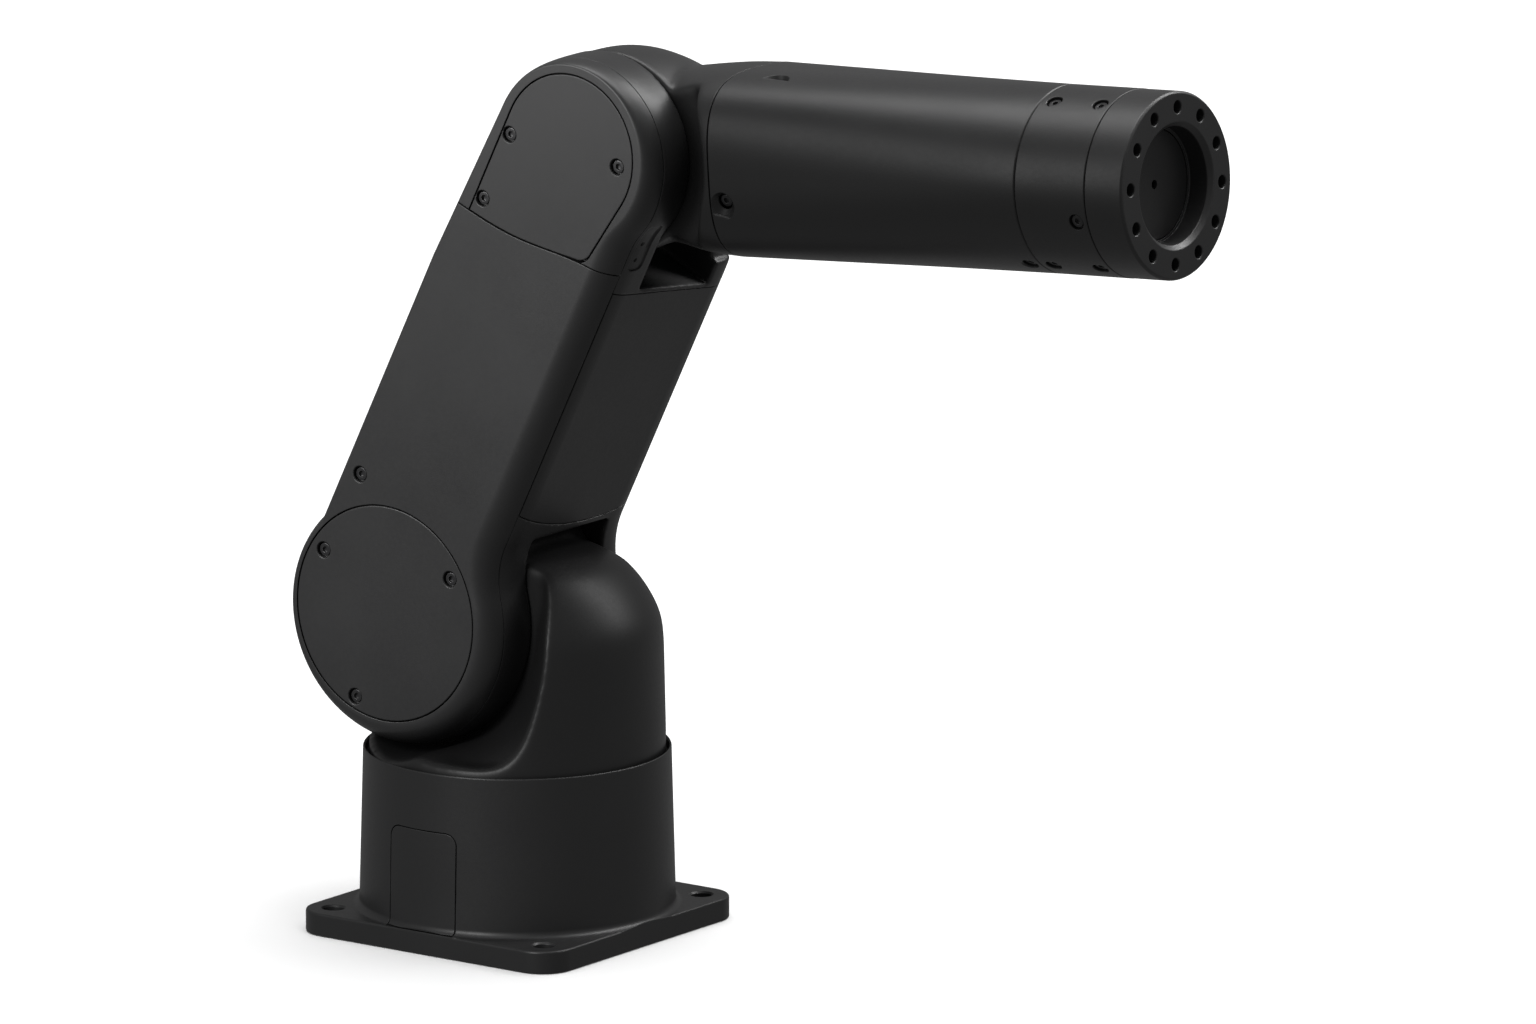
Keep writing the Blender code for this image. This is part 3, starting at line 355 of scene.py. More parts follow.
def bake(target):
    """Applies the modifiers, drops their cutters, and sets soft shading with crisp edges."""
    bpy.context.view_layer.update()
    graph = bpy.context.evaluated_depsgraph_get()
    mesh = bpy.data.meshes.new_from_object(target.evaluated_get(graph))
    tools = [step.object for step in target.modifiers if step.type == "BOOLEAN"]
    target.modifiers.clear()
    target.data = mesh
    mesh.name = target.name
    for tool in tools:
        bpy.data.objects.remove(tool, do_unlink=True)
    mesh.materials.clear()
    mesh.transform(target.matrix_world)
    target.matrix_world = WORLD
    work = bmesh.new()
    work.from_mesh(mesh)
    bmesh.ops.remove_doubles(work, verts=work.verts, dist=1e-6)
    work.to_mesh(mesh)
    work.free()
    mesh.shade_smooth()
    mesh.set_sharp_from_angle(angle=math.radians(32))
    weigh = target.modifiers.new("face weighted normals", "WEIGHTED_NORMAL")
    weigh.keep_sharp = True
    weigh.weight = 60
    return target


def finished(piece, body, node, slot_name="black_powder_coat"):
    """Bakes a piece, gives it its slot's finish, and lets it ride on its body in place of the node."""
    bake(piece)
    piece.data.materials.append(FINISH[slot_name])
    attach(piece, body)
    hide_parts(node)


# --- finishes -----------------------------------------------------------------------------------
def new_material(name):
    made = bpy.data.materials.new(name)
    made.use_nodes = True
    nodes, links = made.node_tree.nodes, made.node_tree.links
    return made, nodes, links, nodes["Principled BSDF"]


def noise(nodes, links, source, scale, detail=3.0, rough=0.55):
    made = nodes.new("ShaderNodeTexNoise")
    made.inputs["Scale"].default_value = scale
    made.inputs["Detail"].default_value = detail
    made.inputs["Roughness"].default_value = rough
    links.new(source, made.inputs["Vector"])
    return made.outputs["Fac"]


def ramp(nodes, links, source, stops):
    made = nodes.new("ShaderNodeValToRGB")
    links.new(source, made.inputs["Fac"])
    points = made.color_ramp.elements
    while len(points) < len(stops):
        points.new(0.5)
    for point, (place, colour) in zip(points, stops):
        point.position = place
        point.color = (*colour, 1) if isinstance(colour, tuple) else (colour, colour, colour, 1)
    return made.outputs["Color"]


def mixed(nodes, links, factor, first, second):
    made = nodes.new("ShaderNodeMix")
    made.data_type = "RGBA"
    for name, value in (("Factor", factor), ("A", first), ("B", second)):
        socket = made.inputs[name]
        if isinstance(value, bpy.types.NodeSocket):
            links.new(value, socket)
        elif isinstance(value, tuple):
            socket.default_value = (*value, 1)
        else:
            socket.default_value = value
    return made.outputs["Result"]


def edge_mask(nodes, links, radius):
    """Near 1 on outer edges and 0 on flat faces, from how far a widened normal leans."""
    wide = nodes.new("ShaderNodeBevel")
    wide.samples = 6
    wide.inputs["Radius"].default_value = radius
    geometry = nodes.new("ShaderNodeNewGeometry")
    lean = nodes.new("ShaderNodeVectorMath")
    lean.operation = "DOT_PRODUCT"
    links.new(wide.outputs["Normal"], lean.inputs[0])
    links.new(geometry.outputs["Normal"], lean.inputs[1])
    return ramp(nodes, links, lean.outputs["Value"], ((0.86, 1.0), (0.99, 0.0)))


def metal_like(name, dark, light, roughness, metallic, grain, depth, worn, specular=0.5, edge=0.45):
    """Cloudy colour and gloss, a fine grain, soft edges, and paler wear where edges are handled.

    edge is the shaded edge radius in millimetres. grain and depth are the bump's scale and strength.
    """
    made, nodes, links, shader = new_material(name)
    place = nodes.new("ShaderNodeTexCoord").outputs["Object"]
    cloud = noise(nodes, links, place, 14.0, 4.0)
    speck = noise(nodes, links, place, grain * 0.35, 2.0)
    base = mixed(nodes, links, cloud, dark, light)
    edges = edge_mask(nodes, links, 0.0007)
    patchy = ramp(nodes, links, noise(nodes, links, place, 60.0, 4.0, 0.7), ((0.42, 0.0), (0.68, 1.0)))
    wear = nodes.new("ShaderNodeMath")
    wear.operation = "MULTIPLY"
    links.new(edges, wear.inputs[0])
    links.new(patchy, wear.inputs[1])
    links.new(mixed(nodes, links, wear.outputs[0], base, worn), shader.inputs["Base Color"])
    shine = mixed(nodes, links, 0.35, cloud, speck)
    gloss = ramp(nodes, links, shine, ((0.3, roughness - 0.05), (0.7, roughness + 0.06)))
    links.new(gloss, shader.inputs["Roughness"])
    shader.inputs["Metallic"].default_value = metallic
    shader.inputs["Specular IOR Level"].default_value = specular
    bevel = nodes.new("ShaderNodeBevel")
    bevel.samples = 6
    bevel.inputs["Radius"].default_value = edge * MM
    bump = nodes.new("ShaderNodeBump")
    bump.inputs["Strength"].default_value = depth
    bump.inputs["Distance"].default_value = 0.0001
    links.new(noise(nodes, links, place, grain, 2.0), bump.inputs["Height"])
    links.new(bevel.outputs["Normal"], bump.inputs["Normal"])
    links.new(bump.outputs["Normal"], shader.inputs["Normal"])
    return made


PAINT = metal_like(
    "black_powder_coat", (0.0120, 0.0120, 0.0123), (0.0155, 0.0155, 0.0158), roughness=0.42, metallic=0.0,
    grain=1700, depth=0.22, worn=(0.036, 0.036, 0.037), specular=0.36)
SCREW = metal_like(
    "black_oxide_steel", (0.010, 0.010, 0.011), (0.02, 0.02, 0.021), roughness=0.32, metallic=0.35,
    grain=2600, depth=0.15, worn=(0.10, 0.10, 0.10), specular=0.5, edge=0.15)
STEEL = metal_like(
    "machined_steel", (0.36, 0.36, 0.37), (0.48, 0.48, 0.49), roughness=0.32, metallic=1.0,
    grain=2200, depth=0.12, worn=(0.6, 0.6, 0.61))
MOTOR = metal_like(
    "motor_housing", (0.16, 0.165, 0.17), (0.22, 0.225, 0.23), roughness=0.42, metallic=0.8,
    grain=1500, depth=0.15, worn=(0.4, 0.4, 0.4))
BOARD = metal_like(
    "circuit_board", (0.012, 0.07, 0.03), (0.02, 0.1, 0.045), roughness=0.4, metallic=0.0,
    grain=900, depth=0.1, worn=(0.05, 0.16, 0.08))
PLASTIC = metal_like(
    "black_plastic", (0.012, 0.012, 0.013), (0.02, 0.02, 0.021), roughness=0.5, metallic=0.0,
    grain=2400, depth=0.3, worn=(0.05, 0.05, 0.05), specular=0.4)
FINISH = {
    "black_powder_coat": PAINT, "base_powder_coat": PAINT, "machined_steel": STEEL,
    "motor_housing": MOTOR, "black_oxide_steel": SCREW, "circuit_board": BOARD, "black_plastic": PLASTIC,
}


# --- screws -------------------------------------------------------------------------------------
def screw_mesh():
    """A socket-head screw along +Z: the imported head's top is at the origin, and the drawn one lower."""
    tip = -SCREW_HEAD_H - SCREW_SHANK
    head = [(0, HEAD_TOP), (SCREW_HEAD_R, HEAD_TOP), (SCREW_HEAD_R, -SCREW_HEAD_H)]
    shank = [(SCREW_SHANK_R, -SCREW_HEAD_H), (SCREW_SHANK_R, tip), (0, tip)]
    blank = mesh_object("socket_screw", turned(eased(head + shank, 0.32), 48))
    cut(blank, turned([(0, 1), (HEX_SOCKET_R, 1), (HEX_SOCKET_R, -1.7), (0, -1.9)], 6))
    cut(blank, turned([(0, 0.3), (2.35, 0.3), (1.15, -0.9), (0, -0.9)], 48))
    bake(blank)
    mesh = blank.data
    bpy.data.objects.remove(blank, do_unlink=True)
    mesh.materials.append(SCREW)
    return mesh


SCREW_MESH = screw_mesh()


def screw(name, body, place, outward):
    made = bpy.data.objects.new(name + "_fine", SCREW_MESH)
    bpy.context.scene.collection.objects.link(made)
    direction = Vector(outward).normalized()
    turn = Vector((0, 0, 1)).rotation_difference(direction).to_matrix().to_4x4()
    spot = Vector(place) - direction * (SCREW_SINK - SCREW_HEAD_H - HEAD_LIFT)
    made.matrix_world = BODY_FRAME[body] @ Matrix.Translation(spot * MM) @ turn
    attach(made, body)
    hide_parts(name)


def screw_holes(place, outward, reach=9.3):
    """A counterbore with a broken edge, and the clearance hole under it."""
    direction = Vector(outward).normalized()
    turn = Vector((0, 0, 1)).rotation_difference(direction).to_matrix()
    shank = SCREW_SHANK_R + GAP
    profile = [(0, 3), (COUNTERBORE_R + 3.3, 3), (COUNTERBORE_R, -0.3), (COUNTERBORE_R, -SCREW_SINK)]
    profile += [(shank, -SCREW_SINK), (shank, -reach), (0, -reach)]
    points, faces = turned(profile, SMALL)
    return [tuple(Vector(place) + turn @ Vector(point)) for point in points], faces


# --- base ---------------------------------------------------------------------------------------
def base_skin(offset=0.0):
    foot, rim = BASE_FOOT_R - offset, BASE_RIM_R - offset
    centre = (foot + BASE_FLARE, PLATE_THICK + BASE_FLARE)
    return [(rim, BASE_RIM_Z)] + arc(centre, BASE_FLARE, 180, 270, 20)


def panel_outline(grow):
    left, right = PANEL_X[0] - grow, PANEL_X[1] + grow
    top, low = PANEL_TOP_Z + grow, PLATE_THICK + GAP - grow
    corner = PANEL_CORNER + grow
    outline = [(left, low), (right, low)]
    outline += arc((right - corner, top - corner), corner, 0, 90, 14)
    return outline + arc((left + corner, top - corner), corner, 90, 180, 14)


def base_pieces():
    half = PLATE_SIDE / 2
    skin = base_skin()
    flare_low = PLATE_THICK - 2
    top = eased([(BASE_RIM_R - 3, BASE_RIM_Z), skin[0], skin[1]], 0.7)
    body = [(0, BASE_RIM_Z)] + top + skin[2:] + [(skin[-1][0], flare_low), (0, flare_low)]
    housing = mesh_object("base_casting", turned(body, FINE))
    keep(housing, prism(rounded_square(half - 0.05, PLATE_CORNER), -5, 100, "Z"))
    edge = [(0.6, 0.0), (0.2, 0.2), (0.0, 0.6), (0.0, PLATE_THICK - 1.0), (0.08, PLATE_THICK - 0.62)]
    edge += [(0.3, PLATE_THICK - 0.3), (0.62, PLATE_THICK - 0.08), (1.0, PLATE_THICK)]
    join(housing, loft([
        [(x, y, z) for x, y in rounded_square(half - inset, PLATE_CORNER - inset)] for inset, z in edge]))
    inner, cover_z = BASE_RIM_R - BASE_WALL, 4.5
    hollow = [(0, 60), (inner, 60), (inner, cover_z), (inner - 1, cover_z), (inner - 1, -1), (0, -1)]
    cut(housing, turned(hollow, FINE))
    room, chamfer, well = BASE_RIM_R - 1.1, 0.7, 45
    recess = [(0, 90), (room + chamfer, 90), (room + chamfer, BASE_RIM_Z), (room, BASE_RIM_Z - chamfer)]
    recess += [(room, TURRET_ROOM_Z), (BEARING_SEAT_R, TURRET_ROOM_Z), (BEARING_SEAT_R, BEARING_SEAT_Z)]
    recess += [(well, BEARING_SEAT_Z), (well, 50), (0, 50)]
    cut(housing, turned(recess, FINE))
    offset = MOUNT_HOLE_PITCH / 2
    hole = [(0, 12), (MOUNT_HOLE_R + 3.5, 12), (MOUNT_HOLE_R + 0.9, PLATE_THICK + 0.1)]
    hole += [(MOUNT_HOLE_R, PLATE_THICK - 0.8), (MOUNT_HOLE_R, -2), (0, -2)]
    for x in (-1, 1):
        for y in (-1, 1):
            cut(housing, turned(hole, COARSE, "Z", (x * offset, y * offset)))
    cut(housing, prism(panel_outline(GAP + PANEL_ROOM), -90, -50))
    cut(housing, prism(rectangle(*REAR_PANEL, GAP), -90, -50, "X"))
    finished(housing, "base", "base_housing", "base_powder_coat")

    shell = base_skin() + [(r, z) for r, z in reversed(base_skin(PANEL_THICK))]
    panel = mesh_object("access_panel", turned(shell, FINE))
    keep(panel, prism(panel_outline(-PANEL_ROOM), -66.3, -50))
    finished(panel, "base", "base_access_panel")

    rear = mesh_object("rear_panel", turned(shell, FINE))
    keep(rear, prism(eased(rectangle(*REAR_PANEL), 1.2, closed=True), -90, -50, "X"))
    cut(rear, disc(POWER_SOCKET_R + GAP, -80, -50, COARSE, "X", POWER_SOCKET))
    cut(rear, prism(rectangle(*DATA_SOCKET, GAP), -80, -50, "X"))
    finished(rear, "base", "rear_connector_panel")

    jack = disc(POWER_SOCKET_R, SOCKET_FACE_X, -54, COARSE, "X", POWER_SOCKET, 0.5)
    power = mesh_object("power_jack", jack)
    cut(power, ring(3.2, POWER_SOCKET_R - 2, -70, -58, COARSE, "X", POWER_SOCKET))
    finished(power, "base", "power_socket", "black_plastic")
    rim = eased(rectangle(*DATA_SOCKET), 0.8, closed=True)
    data = mesh_object("data_jack", prism(rim, SOCKET_FACE_X, -52, "X"))
    plug_room = [(6, 25), (18, 25), (18, 34), (14.5, 34), (14.5, 37), (9.5, 37), (9.5, 34), (6, 34)]
    cut(data, prism(plug_room, -70, -56, "X"))
    finished(data, "base", "data_socket", "black_plastic")


# --- turret -------------------------------------------------------------------------------------
def ear_bay(near, side):
    """Room in front of an arm ear: it flares outwards, and is wider above for the arm to lean."""
    start, end = EAR_BAY_ANGLES
    rings = []
    for grow, depth in EAR_BAY_FLARE:
        ring_y = near + side * depth
        outline = [(SHOULDER_X, ring_y, SHOULDER_Z)]
        for k in range(EAR_BAY_STEPS + 1):
            angle = start + (end - start) * k / EAR_BAY_STEPS
            lean = EAR_BAY_LEAN * eased_share((angle - EAR_BAY_LEAN_START) / EAR_BAY_LEAN_RUN)
            flare = grow * eased_share((angle - start) / EAR_BAY_FLARE_RUN)
            radius = EAR_ROOM_R - 0.5 + lean + flare
            turn = math.radians(angle)
            x, z = SHOULDER_X + radius * math.cos(turn), SHOULDER_Z + radius * math.sin(turn)
            outline.append((x, ring_y, max(z, EAR_BAY_LOW_Z)))
        rings.append(outline)
    return loft(rings)


def turret_pieces():
    shoulder = (SHOULDER_X, SHOULDER_Z)
    dome = [(TURRET_TOP_R, 120.7), (60.0, 129.5), (57.1, 137.7), (51.4, 147.5), (44.3, 155.5)]
    dome += [(36.0, 159.6), (26.0, 162.0), (14.0, 163.2), (0, 163.5)]
    side = [(0, TURRET_BOTTOM_Z - 14), (TURRET_R, TURRET_BOTTOM_Z - 14), (TURRET_R, TURRET_BOTTOM_Z + 10)]
    housing = mesh_object("turret_casting", turned(side + spline(dome), FINE))
    join(housing, disc(KNUCKLE_R, -27, 29, FINE, "Y", shoulder))
    rear = [(SHOULDER_X - 53.9, SHOULDER_Z), (SHOULDER_X - 52.5, 125), (-60.5, 96), (-40, 90), (-20, 130)]
    join(housing, prism(rear, -28, 30))
    for near, side in ((HEAD_Y[0], -1), (HEAD_Y[1], 1)):
        cut(housing, disc(EAR_ROOM_R, *sorted((near, side * 90)), FINE, "Y", shoulder))
        cut(housing, ear_bay(near, side))
    soften(housing, voxel=0.75, rounds=90)
    keep(housing, box((-90, -90, TURRET_BOTTOM_Z), (90, 90, 200)))
    cut(housing, disc(YAW_HUB_R, 60, 112, along="Z"))
    cut(housing, disc(TURRET_DRIVE_R, HEAD_Y[0] + 4, HEAD_Y[1] - 4, MEDIUM, "Y", shoulder))
    cut(housing, box(*TURRET_ROOM))
    cut(housing, disc(SHOULDER_HUB_HOLE_R, -40, 0, MEDIUM, "Y", shoulder))
    cut(housing, disc(SHOULDER_BEARING_R + GAP, 18, 40, MEDIUM, "Y", shoulder))
    finished(housing, "turret", "turret_housing")


# --- upper arm ----------------------------------------------------------------------------------
def limb_outline(foot, head, left, right, blend, inset=0.0):
    """A limb seen from the side: two round ends, straight edges, and hollow blends between them.

    foot and head are (across, along, radius). right is the front edge, with a hollow blend at
    both ends. left is the back edge, which rises from a short blend at the foot and then runs in
    to touch the head's circle. inset moves the whole outline inwards.
    """
    foot_r, head_r = foot[2] - inset, head[2] - inset
    left, right, blend, short = left + inset, right - inset, blend + inset, 10.0 + inset

    def blend_centre(end, radius, across, size):
        reach = math.sqrt((radius + size) ** 2 - (across - end[0]) ** 2)
        return across, end[1] + reach * (1 if end is foot else -1)

    def angle_to(end, spot):
        turn = math.degrees(math.atan2(spot[1] - end[1], spot[0] - end[0])) % 360
        return turn if spot[0] < end[0] or turn < 180 else turn - 360

    low_right = blend_centre(foot, foot_r, right + blend, blend)
    low_left = blend_centre(foot, foot_r, left - short, short)
    high_right = blend_centre(head, head_r, right + blend, blend)
    away = math.hypot(left - head[0], BACK_EDGE_TOP - head[1])
    touch = angle_to(head, (left, BACK_EDGE_TOP)) - math.degrees(math.acos(head_r / away))
    outline = arc(foot[:2], foot_r, angle_to(foot, low_left), 360 + angle_to(foot, low_right), 90)
    outline += arc(low_right, blend, 180 + angle_to(foot, low_right), 180, 20)
    outline += arc(high_right, blend, 180, 180 + angle_to(head, high_right), 20)
    outline += arc(head[:2], head_r, angle_to(head, high_right), touch, 64)[1:]
    last, bend = outline[-1], (left, BACK_EDGE_TOP)
    outline += [tuple(a + (b - a) * share for a, b in zip(last, bend)) for share in (0.25, 0.5, 0.75)]
    return outline + [bend] + arc(low_left, short, 0, angle_to(foot, low_left) - 180, 12)[:-1]


def arm_outline(y, inset=0.0):
    full = limb_outline(*LIMB_MIDDLE, inset)
    if y < 0:
        face = limb_outline(*LIMB_FACE, inset)
        depth = y - ARM_FACE_Y
    else:
        face = limb_outline(*LIMB_BACK, inset)
        depth = ARM_BACK_Y - y
    open_out = 1.0 if depth >= ROUND_DEPTH else math.sqrt(max(0.0, 1 - (1 - depth / ROUND_DEPTH) ** 2))
    return [(a + (c - a) * open_out, b + (d - b) * open_out) for (a, b), (c, d) in zip(face, full)]


def arm_loft(low, high, inset=0.0):
    rounding = [ROUND_DEPTH * (1 - math.cos(math.radians(angle))) for angle in range(0, 91, 5)]
    stations = [ARM_FACE_Y + depth for depth in rounding] + [ARM_BACK_Y - depth for depth in rounding]
    inside = [y for y in sorted(stations) if low + 0.02 < y < high - 0.02]
    return loft([[(a, y, b) for a, b in arm_outline(y, inset)] for y in [low] + inside + [high]])


def seam_line(move):
    """The seam between drive shell and elbow cap, moved along the arm."""
    across, along = SEAM_MIDDLE
    return [(u, along + SEAM_RISE * math.tanh((u - across) / SEAM_SPREAD) + move) for u in range(-60, 61)]


def elbow_cover_outline(grow):
    centre, radius = ELBOW_COVER_CENTRE, ELBOW_COVER_R + grow
    outline = arc(centre, radius, -10, 180, 90)
    left, corner = centre[0] - radius, 7.0 + grow
    seam = [point for point in seam_line(GAP + 0.05 - grow) if left + 1 < point[0] < 8]
    outline += [(left, seam[0][1] - 0.1)] + seam
    return outline + arc((16.5, seam[-1][1] + 10.0), corner, 290, 345, 16)


def pocket_floor(y):
    """How far along the arm the elbow pocket's floor is: it falls away from the drive side."""
    return POCKET_W - POCKET_FALL * (y - EAR_Y[0]) / (EAR_Y[1] - EAR_Y[0])


def front_cover_space(grow):
    low_y, high_y = SHELL_JOINT_Y + 0.5 - grow, 36 + grow
    middle_y, low_w = FRONT_COVER_LOW
    outline, count = [], 40
    for k in range(count + 1):
        y = low_y + (high_y - low_y) * k / count
        outline.append((y, low_w - grow + FRONT_COVER_BOW * (y - middle_y) ** 2))
    top = [(y, pocket_floor(y) - 2.0 + grow) for y in (high_y, low_y)]
    return prism(outline + top, 33.8 - grow, 60, "X")


def chamfered_plate(outline_at, low, high, edge=0.35):
    """A plate along Y between low and high, with its outer rim at low broken by edge."""
    rings = ((-edge, low), (-edge * 0.3, low + edge * 0.3), (0.0, low + edge), (0.0, high))
    return loft([[(a, y, b) for a, b in outline_at(grow)] for grow, y in rings])


def ear_recess(body):
    """A slim shallow recess with two small screw points, on the drive-side ear's front edge."""
    outline = eased(rectangle(*EAR_RECESS), 2.5, closed=True)
    recess = mesh_object("ear_recess", prism(outline, 20, 60, "X"), ARM)
    cut(recess, arm_loft(-48, -20, EAR_RECESS_DEPTH))
    add_boolean(body, "DIFFERENCE", bake(recess))
    cut(body, *[disc(0.9, 35.8, 60, SMALL, "X", spot) for spot in EAR_RECESS_SCREWS])


def upper_arm_pieces():
    out, elbow = (0, -1, 0), (0, ARM_LENGTH)
    shoulder_places = [(u, ARM_FACE_Y, w) for u, w in SHOULDER_SCREWS]
    elbow_places = [(u, ARM_FACE_Y, w) for u, w in ELBOW_SCREWS]
    shell_place = (SHELL_SCREW[0], ARM_FACE_Y, SHELL_SCREW[1])
    seat_y = ARM_FACE_Y + COVER_THICK + GAP
    hollow_y = seat_y + 1.8
    above = seam_line(-GAP / 2 - SEAM_ROOM / 2) + [(60, 400), (-60, 400)]
    below = seam_line(GAP / 2 + SEAM_ROOM / 2) + [(60, -200), (-60, -200)]
    inside = prism(rectangle((-36, 52), (22, 205)), ARM_FACE_Y + ARM_WALL, -30)

    shell = mesh_object("drive_shell", arm_loft(ARM_FACE_Y, SHELL_JOINT_Y - GAP / 2), ARM)
    cut(shell, arm_loft(hollow_y, SHELL_JOINT_Y + 1, ARM_WALL), inside)
    cut(shell, disc(SHOULDER_COVER_R + GAP + SEAM_ROOM, -60, seat_y, FINE), disc(34, -60, -30, MEDIUM))
    cut(shell, prism(above, -60, -30))
    cut(shell, *[screw_holes(place, out) for place in shoulder_places + [shell_place]])
    finished(shell, "upper_arm", "arm_drive_shell")

    cap = mesh_object("elbow_end_cap", arm_loft(ARM_FACE_Y, SHELL_JOINT_Y - GAP / 2), ARM)
    cut(cap, arm_loft(hollow_y, SHELL_JOINT_Y + 1, ARM_WALL))
    cut(cap, prism(elbow_cover_outline(GAP + SEAM_ROOM), -60, seat_y))
    cut(cap, disc(20, -60, -30, MEDIUM, centre=ELBOW_COVER_CENTRE), prism(below, -60, -30))
    cut(cap, *[screw_holes(place, out) for place in elbow_places])
    finished(cap, "upper_arm", "elbow_cap")

    lid = disc(SHOULDER_COVER_R, ARM_FACE_Y, seat_y - GAP, FINE, edge=0.4)
    cover = mesh_object("shoulder_lid", lid, ARM)
    cut(cover, *[screw_holes(place, out) for place in shoulder_places])
    finished(cover, "upper_arm", "shoulder_cover")
    cover = mesh_object("elbow_lid", chamfered_plate(elbow_cover_outline, ARM_FACE_Y, seat_y - GAP), ARM)
    cut(cover, *[screw_holes(place, out) for place in elbow_places])
    finished(cover, "upper_arm", "elbow_cover")

    body = mesh_object("arm_casting", arm_loft(SHELL_JOINT_Y - 6, ARM_BACK_Y), ARM)
    wall_y = EAR_Y[0] - 4
    cut(body, box((-100, EAR_Y[0], -100), (100, EAR_Y[1], CROTCH_W)))
    pocket = [(y, pocket_floor(y)) for y in EAR_Y] + [(EAR_Y[1], 400), (EAR_Y[0], 400)]
    cut(body, prism(pocket, -100, 100, "X"))
    idler = [(-100, IDLER_CUT_W), (-39, IDLER_CUT_W)] + arc(elbow, 24, 190, -6, 60)
    idler += [(34, IDLER_CUT_W), (100, IDLER_CUT_W), (100, 300), (-100, 300)]
    cut(body, prism(idler, EAR_Y[1] - 1, 90))
    slope = [(90, 150), (ARM_BACK_Y + 1, 150), (38, 186), (38, 300), (90, 300)]
    cut(body, prism(slope, -100, 100, "X"))
    soften(body, voxel=0.95, rounds=4)
    keep(body, box((-200, SHELL_JOINT_Y + GAP / 2, -200), (200, 200, 400)))
    cut(body, disc(48, -60, wall_y, FINE, centre=(2.5, -1)))
    cut(body, disc(36, -60, wall_y, MEDIUM, centre=LIMB_MIDDLE[1][:2]))
    cut(body, box((-37, -60, 20), (31, wall_y, 200)))
    cut(body, box((-37, -60, CROTCH_W + 6), (28, 38, POCKET_W - POCKET_FALL - 5)))
    cut(body, front_cover_space(GAP + SEAM_ROOM / 2))
    ear_recess(body)
    cut(body, disc(SHOULDER_HUB_HOLE_R, -60, -20), disc(ELBOW_HUB_HOLE_R, -60, -20, centre=elbow))
    cut(body, disc(SHOULDER_IDLER_R + GAP, ARM_BACK_Y - 3.3, 60, FINE))
    cut(body, disc(ELBOW_IDLER_R + GAP, 35.2, 60, FINE, centre=elbow))
    cut(body, disc(SHOULDER_SHAFT_R + GAP, 20, 60, COARSE))
    cut(body, disc(ELBOW_SHAFT_R + GAP, 20, 60, COARSE, centre=elbow))
    finished(body, "upper_arm", "arm_frame")

    front = mesh_object("front_lid", arm_loft(SHELL_JOINT_Y + GAP / 2, ARM_BACK_Y), ARM)
    keep(front, front_cover_space(0))
    finished(front, "upper_arm", "arm_front_cover")
    lid = mesh_object("shoulder_idler_lid", disc(SHOULDER_IDLER_R, 42.7, 45.9, FINE, edge=0.4), ARM)
    finished(lid, "upper_arm", "shoulder_idler_cover")
    lid = mesh_object("elbow_idler_lid", disc(ELBOW_IDLER_R, 35.5, 37.9, FINE, centre=elbow, edge=0.4), ARM)
    finished(lid, "upper_arm", "elbow_idler_cover")

    for number, place in enumerate(shoulder_places, 1):
        screw(f"shoulder_cover_screw_{number}", "upper_arm", place, out)
    for number, place in enumerate(elbow_places, 1):
        screw(f"elbow_cover_screw_{number}", "upper_arm", place, out)
    screw("arm_shell_screw", "upper_arm", shell_place, out)


# --- forearm ------------------------------------------------------------------------------------
def tube_rings(stations, inset=0.0):
    return [superellipse(y - inset, z - inset, power, TUBE_DROP, x) for x, y, z, power in stations]


def on_tube(x, angle):
    """A place on the tube's surface, and the direction that points outwards there."""
    turn = math.radians(angle)
    out = (0, math.cos(turn), math.sin(turn))
    return (x, TUBE_R * out[1], TUBE_DROP + TUBE_R * out[2]), out


def broken_ends(stations, edge=0.5):
    """The same stations with both ends drawn in a little, so their rims are broken."""
    first, last = stations[0], stations[-1]
    low = [(first[0], first[1] - edge, first[2] - edge, first[3]), (first[0] + edge, *first[1:])]
    high = [(last[0] - edge, *last[1:]), (last[0], last[1] - edge, last[2] - edge, last[3])]
    return low + list(stations[1:-1]) + high


def neck_clearance(near, far):
    """Room round an ear's round end, flared outwards where it meets the neck."""
    side = 1 if far > near else -1
    profile = [(0, near)] + [(EAR_CLEARANCE_R + grow, near + side * depth) for grow, depth in NECK_FLARE]
    profile += [(EAR_CLEARANCE_R + NECK_FLARE[-1][0], far), (0, far)]
    return turned(profile if side < 0 else profile[::-1], FINE, "Y")


